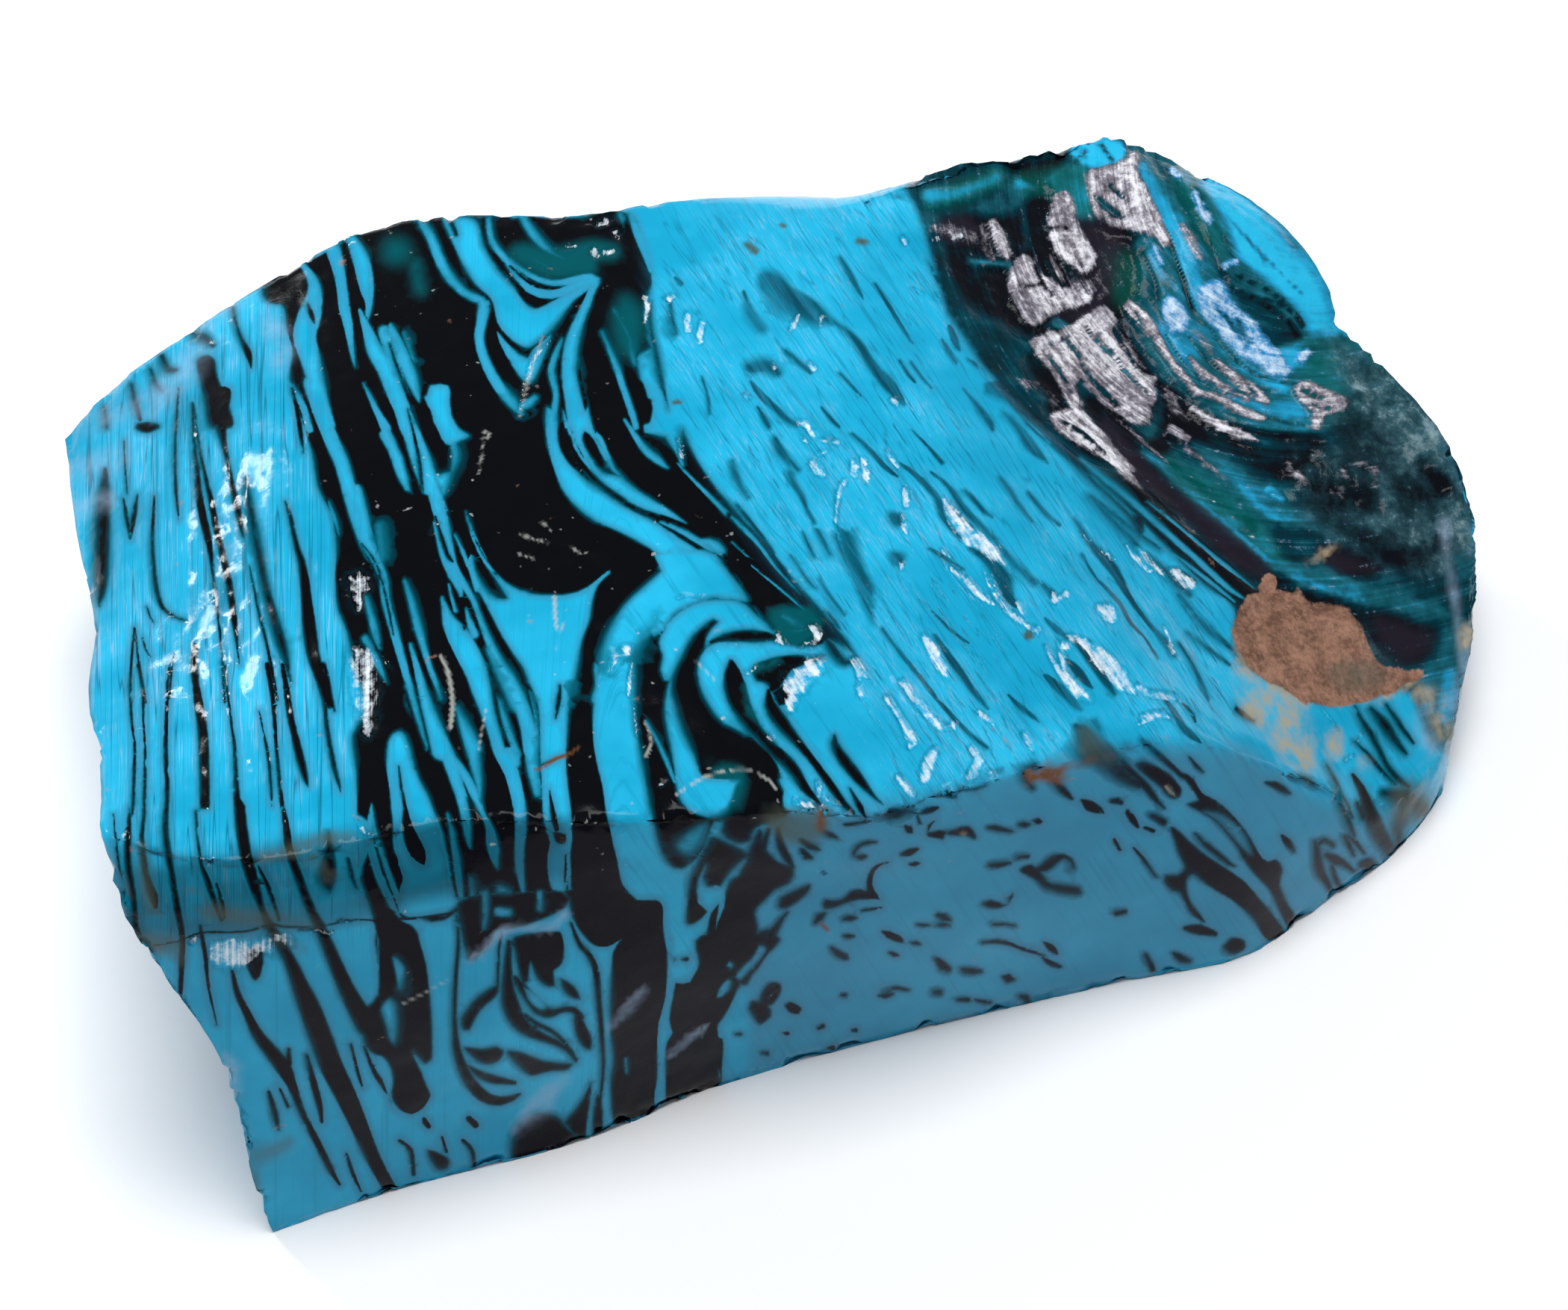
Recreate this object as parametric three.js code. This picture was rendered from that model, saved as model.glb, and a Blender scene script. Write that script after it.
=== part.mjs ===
import * as THREE from 'three';
import { mergeVertices } from 'three/addons/utils/BufferGeometryUtils.js';

// A rough block of marbled turquoise, broken out of a larger lump and resting on its flat
// underside. Millimetres, +Z up. X runs along the block, from its tall left end to its low
// right end, and -Y is the front. The origin is on the floor, under the middle of the block.
//
// The block is a closed skin on a bent box: a top face, four walls and a flat underside. Three
// closed edges go round it: the arris of the top face, a girdle (the ledge in front, the outer
// rim of the right end) and the foot. Each is drawn through points on the stone.

const STONE_LENGTH = 76.7;      // overall length of the block along X
const CROWN_RISE = 0.9;         // how far the middle of the top swells above its edges
const SHOULDER_RISE = 1.3;      // the soft break before the facet at the back left corner
const VALLEY_DEPTH = 2.3;       // the hollow break behind the top's right-hand edge
const LOBE_RISE = 1.5;          // the rounded lobe beyond that hollow
const STEP_DEPTH = 0.5;         // how far the front face steps out under the ledge
const CHIP_DEPTH = 1.3;         // the chip broken out of the front foot

const COLUMNS = 56;             // faces along the front, the back and the top
const RANKS = 26;               // faces from front to back
const UPPER_ROWS = 10;          // faces from the arris to the girdle
const LOWER_ROWS = 6;           // faces from the girdle to the foot

// The arris of the top face, in four stretches
const RIDGE = [                 // front, left to right
  [-36.8, -7.6, 23.5], [-34.0, -10.5, 24.0], [-30.8, -12.1, 24.0], [-26.1, -12.8, 24.0],
  [-21.8, -12.8, 23.7], [-18.0, -13.9, 23.2], [-13.4, -15.1, 22.5], [-9.3, -15.8, 21.8],
  [-5.8, -16.2, 21.2], [-2.4, -17.3, 20.2], [2.3, -16.6, 19.4], [5.7, -16.4, 18.8],
  [10.4, -15.8, 17.8], [15.6, -15.9, 16.5], [20.0, -15.9, 12.5], [23.9, -16.0, 9.0],
];
const BREAK_LINE = [            // right, front to back
  [23.9, -16.0, 9.0], [21.5, -13.1, 11.0], [20.7, -10.1, 13.0], [18.9, -5.2, 15.5],
  [17.3, 0.3, 17.8], [16.2, 8.4, 19.8], [16.0, 15.1, 20.8], [15.8, 21.2, 21.3],
];
const BACK_RIM = [              // back, left to right
  [-31.1, 25.2, 15.0], [-27.9, 26.3, 16.8], [-23.4, 26.6, 19.0], [-18.3, 26.9, 21.0],
  [-14.2, 27.3, 22.0], [-10.3, 26.6, 22.8], [-6.3, 24.8, 23.2], [-2.3, 23.2, 23.2],
  [1.3, 23.1, 23.0], [5.1, 22.3, 22.6], [8.3, 20.6, 22.2], [12.5, 20.4, 21.8],
  [15.8, 21.2, 21.3],
];
const LEFT_RIM = [              // left, front to back
  [-36.8, -7.6, 23.5], [-35.6, -2.3, 21.5], [-34.8, 4.4, 19.3], [-33.3, 9.0, 18.0],
  [-32.5, 16.4, 16.2], [-31.1, 25.2, 15.0],
];

// The girdle
const LEDGE = [                 // front: a crack under the ridge, fading out to the right
  [-36.4, -11.9, 19.6], [-34.5, -12.6, 20.4], [-32.2, -13.4, 20.8], [-28.5, -14.2, 20.6],
  [-23.7, -14.8, 19.8], [-18.8, -15.0, 19.3], [-14.2, -15.4, 18.4], [-9.9, -15.9, 17.2],
  [-5.9, -16.5, 16.0], [0.8, -17.2, 14.2], [9.3, -16.9, 12.6], [16.1, -17.6, 10.5],
  [21.7, -17.0, 7.5], [26.0, -15.9, 4.5],
];
const OUTER_RIM = [             // right, front to back, with a notch before the lobe
  [26.0, -15.9, 4.5], [29.7, -14.5, 4.2], [32.7, -12.9, 4.2], [34.4, -11.0, 5.0],
  [37.9, -5.5, 7.0], [39.8, -0.8, 9.0], [39.5, 3.5, 10.8], [38.1, 7.3, 12.2],
  [36.5, 9.4, 13.2], [37.1, 12.2, 14.0], [36.4, 15.9, 14.8], [34.9, 19.3, 15.6],
  [33.3, 21.4, 16.0],
];
const BACK_GIRDLE = [           // back, left to right
  [-30.0, 25.0, 7.5], [-26.0, 28.0, 9.0], [-18.0, 29.0, 11.0], [-6.0, 27.5, 11.5],
  [8.0, 25.0, 12.0], [20.0, 24.8, 12.0], [28.0, 24.0, 13.5], [33.3, 21.4, 16.0],
];
const LEFT_GIRDLE = [           // left, front to back
  [-36.4, -11.9, 19.6], [-33.6, -6.0, 15.5], [-32.0, 1.0, 12.5], [-31.0, 9.0, 10.0],
  [-30.4, 17.0, 8.5], [-30.0, 25.0, 7.5],
];

// The foot, all on the floor
const FRONT_FOOT = [            // left to right
  [-33.4, -16.4, 0], [-26.9, -16.2, 0], [-17.2, -16.8, 0], [-9.7, -16.1, 0],
  [-1.7, -16.4, 0], [6.9, -17.1, 0], [12.7, -17.7, 0], [18.9, -18.5, 0],
  [21.4, -17.7, 0], [24.6, -16.6, 0], [28.0, -15.7, 0],
];
const RIGHT_FOOT = [            // front to back, set in under the outer rim
  [28.0, -15.7, 0], [31.3, -13.8, 0], [33.4, -12.3, 0], [35.0, -8.0, 0],
  [35.5, -2.0, 0], [34.5, 5.0, 0], [32.5, 11.5, 0], [29.5, 17.5, 0],
];
const BACK_FOOT = [             // left to right
  [-28.5, 23.0, 0], [-20.0, 26.0, 0], [-10.0, 25.5, 0], [0.0, 23.5, 0],
  [12.0, 22.5, 0], [22.0, 20.5, 0], [29.5, 17.5, 0],
];
const LEFT_FOOT = [             // front to back
  [-33.4, -16.4, 0], [-31.2, -8.0, 0], [-30.0, 0.0, 0], [-29.2, 8.0, 0],
  [-28.6, 16.0, 0], [-28.5, 23.0, 0],
];

// The four corners of the block, from the arris down to the girdle and on to the foot
const FRONT_LEFT_UPPER = [
  [-36.8, -7.6, 23.5], [-36.9, -8.9, 22.5], [-36.9, -10.8, 21.0], [-36.4, -11.9, 19.6],
];
const FRONT_LEFT_LOWER = [
  [-36.4, -11.9, 19.6], [-36.0, -12.3, 17.8], [-35.2, -13.3, 16.2], [-34.2, -14.0, 14.5],
  [-33.3, -14.6, 12.6], [-33.5, -14.9, 11.0], [-33.8, -15.1, 8.5], [-34.1, -15.5, 6.0],
  [-34.1, -16.0, 4.0], [-33.4, -16.4, 0],
];
const FRONT_RIGHT_UPPER = [[23.9, -16.0, 9.0], [26.0, -15.9, 4.5]];
const FRONT_RIGHT_LOWER = [[26.0, -15.9, 4.5], [28.0, -15.7, 0]];
const BACK_RIGHT_UPPER = [      // the rim of the broken end, round its highest tip
  [15.8, 21.2, 21.3], [19.6, 22.6, 20.3], [24.1, 23.0, 19.0], [28.2, 24.1, 18.0],
  [30.5, 23.0, 17.0], [33.3, 21.4, 16.0],
];
const BACK_RIGHT_LOWER = [[33.3, 21.4, 16.0], [32.6, 20.6, 9.0], [29.5, 17.5, 0]];
const BACK_LEFT_UPPER = [[-31.1, 25.2, 15.0], [-30.9, 25.6, 11.0], [-30.0, 25.0, 7.5]];
const BACK_LEFT_LOWER = [[-30.0, 25.0, 7.5], [-29.3, 24.4, 3.5], [-28.5, 23.0, 0]];

// Shell-shaped breaks in the back, the left and the right walls. Each is the dent that a ball of
// this radius leaves when it is pressed into the wall in this direction.
const INTO_BACK = new THREE.Vector3(0, -1, 0);
const INTO_LEFT = new THREE.Vector3(1, 0, 0);
const INTO_RIGHT = new THREE.Vector3(-1, 0, 0);
const SHELL_BREAKS = [
  { middle: new THREE.Vector3(-14.0, 40.9, 9.0), radius: 14.0, into: INTO_BACK },
  { middle: new THREE.Vector3(4.0, 40.6, 6.0), radius: 17.0, into: INTO_BACK },
  { middle: new THREE.Vector3(21.0, 35.2, 10.0), radius: 12.0, into: INTO_BACK },
  { middle: new THREE.Vector3(-42.9, 4.0, 9.0), radius: 13.0, into: INTO_LEFT },
  { middle: new THREE.Vector3(-38.2, 17.0, 7.0), radius: 9.0, into: INTO_LEFT },
  { middle: new THREE.Vector3(43.5, 6.0, 4.0), radius: 8.0, into: INTO_RIGHT },
];

const STONE_COLOR = 0x1fa9c9;
const STONE_ROUGHNESS = 0.22;

// A smooth line through the points, stepped evenly along its length
function line(points) {
  const places = points.map((point) => new THREE.Vector3(...point));
  const curve = new THREE.CatmullRomCurve3(places, false, 'centripetal');
  curve.arcLengthDivisions = 400;
  return (t) => curve.getPointAt(t);
}

// A patch between four lines (a Coons patch): u runs along first and last, v along start and end
function patch(first, last, start, end) {
  return (u, v) => {
    const place = first(u).multiplyScalar(1 - v);
    place.addScaledVector(last(u), v);
    place.addScaledVector(start(v), 1 - u);
    place.addScaledVector(end(v), u);
    place.addScaledVector(first(0), -(1 - u) * (1 - v));
    place.addScaledVector(first(1), -u * (1 - v));
    place.addScaledVector(last(0), -(1 - u) * v);
    place.addScaledVector(last(1), -u * v);
    return place;
  };
}

// A round bump over part of a patch: 1 at its middle, 0 beyond its half widths
function bump(u, v, middleU, middleV, halfU, halfV) {
  const distance = Math.hypot((u - middleU) / halfU, (v - middleV) / halfV);
  return distance < 1 ? Math.cos((distance * Math.PI) / 2) ** 2 : 0;
}

// 1 inside a patch and 0 on its four sides, so that neighbouring patches still meet
function clearOfSides(u, v) {
  const edge = 0.12;
  const toSide = Math.min(u, 1 - u, v, 1 - v);
  return THREE.MathUtils.smoothstep(toSide, 0, edge);
}

// The top face: nearly flat, with a soft break before the facet at its back left corner
function topRelief(place, u, v) {
  place.z += CROWN_RISE * 16 * u * (1 - u) * v * (1 - v);
  place.z += SHOULDER_RISE * clearOfSides(u, v) * bump(u, v, 0.2, 0.66, 0.25, 0.34);
}

// The broken right end: a hollow along the break line, then a rounded lobe at the back
function brokenEndRelief(place, u, v) {
  const hollow = bump(u, v, 0.62, 0.36, 0.5, 0.42);
  const lobe = bump(u, v, 0.84, 0.7, 0.2, 0.38);
  place.z += clearOfSides(u, v) * (LOBE_RISE * lobe - VALLEY_DEPTH * hollow);
}

// The front under the ledge: a step at the left end and a chip broken out of the foot
function frontRelief(place, u, v) {
  place.y -= STEP_DEPTH * clearOfSides(u, v) * bump(u, v, 0.09, 0.14, 0.13, 0.22);
  place.y += CHIP_DEPTH * bump(u, v, 0.22, 0.86, 0.07, 0.13);
}

// Moves a place that lies inside one of the balls to the ball's surface, into the stone
function broken(place) {
  for (const { middle, radius, into } of SHELL_BREAKS) {
    const offset = place.clone().sub(middle);
    const depth = radius ** 2 - offset.lengthSq();
    if (depth > 0) {
      const along = offset.dot(into);
      place.addScaledVector(into, Math.sqrt(along ** 2 + depth) - along);
    }
  }
  return place;
}

// Four-sided faces over a patch, each cut into two triangles
function skin(surface, across, along, relief) {
  const points = [];
  for (let row = 0; row <= along; row += 1) {
    for (let column = 0; column <= across; column += 1) {
      const u = column / across;
      const v = row / along;
      const place = surface(u, v);
      if (relief) {
        relief(place, u, v);
      }
      points.push(broken(place));
    }
  }
  const corners = [];
  for (let row = 0; row < along; row += 1) {
    for (let column = 0; column < across; column += 1) {
      const a = row * (across + 1) + column;
      const b = a + 1;
      const c = b + across + 1;
      const d = a + across + 1;
      corners.push(points[a], points[b], points[c], points[a], points[c], points[d]);
    }
  }
  return corners;
}

function reversed(corners) {
  const turned = [];
  for (let first = 0; first < corners.length; first += 3) {
    turned.push(corners[first], corners[first + 2], corners[first + 1]);
  }
  return turned;
}

// The flat underside, cut into triangles inside the foot line
function underside(footLines) {
  const outline = [];
  for (const { foot, faces, backwards } of footLines) {
    for (let step = 0; step < faces; step += 1) {
      outline.push(broken(foot(backwards ? 1 - step / faces : step / faces)));
    }
  }
  const flat = outline.map((place) => new THREE.Vector2(place.x, place.y));
  const triangles = THREE.ShapeUtils.triangulateShape(flat, []);
  return reversed(triangles.flat().map((index) => outline[index]));
}

// Walls are seen from outside with the upper line first, so the front and the right run left to
// right and front to back, and the other two are turned over
function wall(upper, lower, startLine, endLine, faces, rows, turnOver, relief) {
  const surface = patch(upper, lower, startLine, endLine);
  const corners = skin(surface, faces, rows, relief);
  return turnOver ? corners : reversed(corners);
}

function stoneGeometry() {
  const ridge = line(RIDGE);
  const breakLine = line(BREAK_LINE);
  const backRim = line(BACK_RIM);
  const leftRim = line(LEFT_RIM);
  const ledge = line(LEDGE);
  const outerRim = line(OUTER_RIM);
  const backGirdle = line(BACK_GIRDLE);
  const leftGirdle = line(LEFT_GIRDLE);
  const frontFoot = line(FRONT_FOOT);
  const rightFoot = line(RIGHT_FOOT);
  const backFoot = line(BACK_FOOT);
  const leftFoot = line(LEFT_FOOT);
  const upper = {
    frontLeft: line(FRONT_LEFT_UPPER),
    frontRight: line(FRONT_RIGHT_UPPER),
    backRight: line(BACK_RIGHT_UPPER),
    backLeft: line(BACK_LEFT_UPPER),
  };
  const lower = {
    frontLeft: line(FRONT_LEFT_LOWER),
    frontRight: line(FRONT_RIGHT_LOWER),
    backRight: line(BACK_RIGHT_LOWER),
    backLeft: line(BACK_LEFT_LOWER),
  };
  const corners = [
    ...skin(patch(ridge, backRim, leftRim, breakLine), COLUMNS, RANKS, topRelief),
    ...wall(ridge, ledge, upper.frontLeft, upper.frontRight, COLUMNS, UPPER_ROWS, false),
    ...wall(ledge, frontFoot, lower.frontLeft, lower.frontRight, COLUMNS, LOWER_ROWS, false,
      frontRelief),
    ...wall(breakLine, outerRim, upper.frontRight, upper.backRight, RANKS, UPPER_ROWS, false,
      brokenEndRelief),
    ...wall(outerRim, rightFoot, lower.frontRight, lower.backRight, RANKS, LOWER_ROWS, false),
    ...wall(backRim, backGirdle, upper.backLeft, upper.backRight, COLUMNS, UPPER_ROWS, true),
    ...wall(backGirdle, backFoot, lower.backLeft, lower.backRight, COLUMNS, LOWER_ROWS, true),
    ...wall(leftRim, leftGirdle, upper.frontLeft, upper.backLeft, RANKS, UPPER_ROWS, true),
    ...wall(leftGirdle, leftFoot, lower.frontLeft, lower.backLeft, RANKS, LOWER_ROWS, true),
    ...underside([
      { foot: frontFoot, faces: COLUMNS, backwards: false },
      { foot: rightFoot, faces: RANKS, backwards: false },
      { foot: backFoot, faces: COLUMNS, backwards: true },
      { foot: leftFoot, faces: RANKS, backwards: true },
    ]),
  ];
  const geometry = new THREE.BufferGeometry().setFromPoints(corners);
  const welded = mergeVertices(geometry, 1e-4);
  welded.computeVertexNormals();
  return welded;
}

// Brings the stone to its real length, with its origin under the middle of its box
function atRealSize(geometry) {
  geometry.computeBoundingBox();
  const box = geometry.boundingBox;
  const scale = STONE_LENGTH / (box.max.x - box.min.x);
  geometry.translate(-(box.min.x + box.max.x) / 2, -(box.min.y + box.max.y) / 2, -box.min.z);
  geometry.scale(scale, scale, scale);
  return geometry;
}

const stone = new THREE.Mesh(
  atRealSize(stoneGeometry()),
  new THREE.MeshStandardMaterial({
    color: STONE_COLOR,
    roughness: STONE_ROUGHNESS,
    metalness: 0,
  }),
);
stone.name = 'turquoise_stone';

const roughTurquoise = new THREE.Group();
roughTurquoise.add(stone);

export default roughTurquoise;
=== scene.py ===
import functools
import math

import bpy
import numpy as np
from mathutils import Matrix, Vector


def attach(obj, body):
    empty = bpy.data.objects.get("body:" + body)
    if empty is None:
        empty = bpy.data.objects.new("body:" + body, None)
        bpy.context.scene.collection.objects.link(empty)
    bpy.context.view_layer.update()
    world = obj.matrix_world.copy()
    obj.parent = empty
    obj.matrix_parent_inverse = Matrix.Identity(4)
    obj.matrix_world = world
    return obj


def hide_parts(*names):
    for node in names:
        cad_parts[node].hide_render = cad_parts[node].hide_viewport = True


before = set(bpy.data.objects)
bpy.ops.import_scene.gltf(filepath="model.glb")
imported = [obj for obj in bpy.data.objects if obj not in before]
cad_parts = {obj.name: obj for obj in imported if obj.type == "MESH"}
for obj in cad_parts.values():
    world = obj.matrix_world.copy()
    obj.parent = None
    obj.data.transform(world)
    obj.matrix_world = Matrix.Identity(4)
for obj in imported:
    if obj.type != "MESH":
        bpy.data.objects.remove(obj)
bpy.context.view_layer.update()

# Rough turquoise: a broken hand piece, marbled blue and black, lying on a pale floor.
# Lengths are millimetres until a mesh or a light is made; Blender's own unit here is the metre.
# Surface points are also known by where they fall in the 2100 x 1754 photograph ("pixels"),
# because the marbling was traced on enlarged views of it.

MM = 0.001

# The camera, worked out from the photograph.
PHOTO_WIDTH = 2100
PHOTO_HEIGHT = 1754
CAMERA_AZIMUTH = -21.0
CAMERA_ELEVATION = 50.0
CAMERA_DISTANCE = 209.61
CAMERA_TARGET = np.array([-1.47, -5.27, 11.98])
FOCAL_PIXELS = 5460.0
SENSOR_WIDTH = 36.0

# Enlarged views used for tracing: left edge, top edge, enlargement.
ENLARGED = 2.904
VIEWS = {"whole": (0, 0, 1.0)}
for row, top in zip("abcd", (150, 520, 890, 1260)):
    for column, left in zip("1234", (60, 520, 980, 1440)):
        VIEWS[row + column] = (left, top, ENLARGED)

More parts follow.
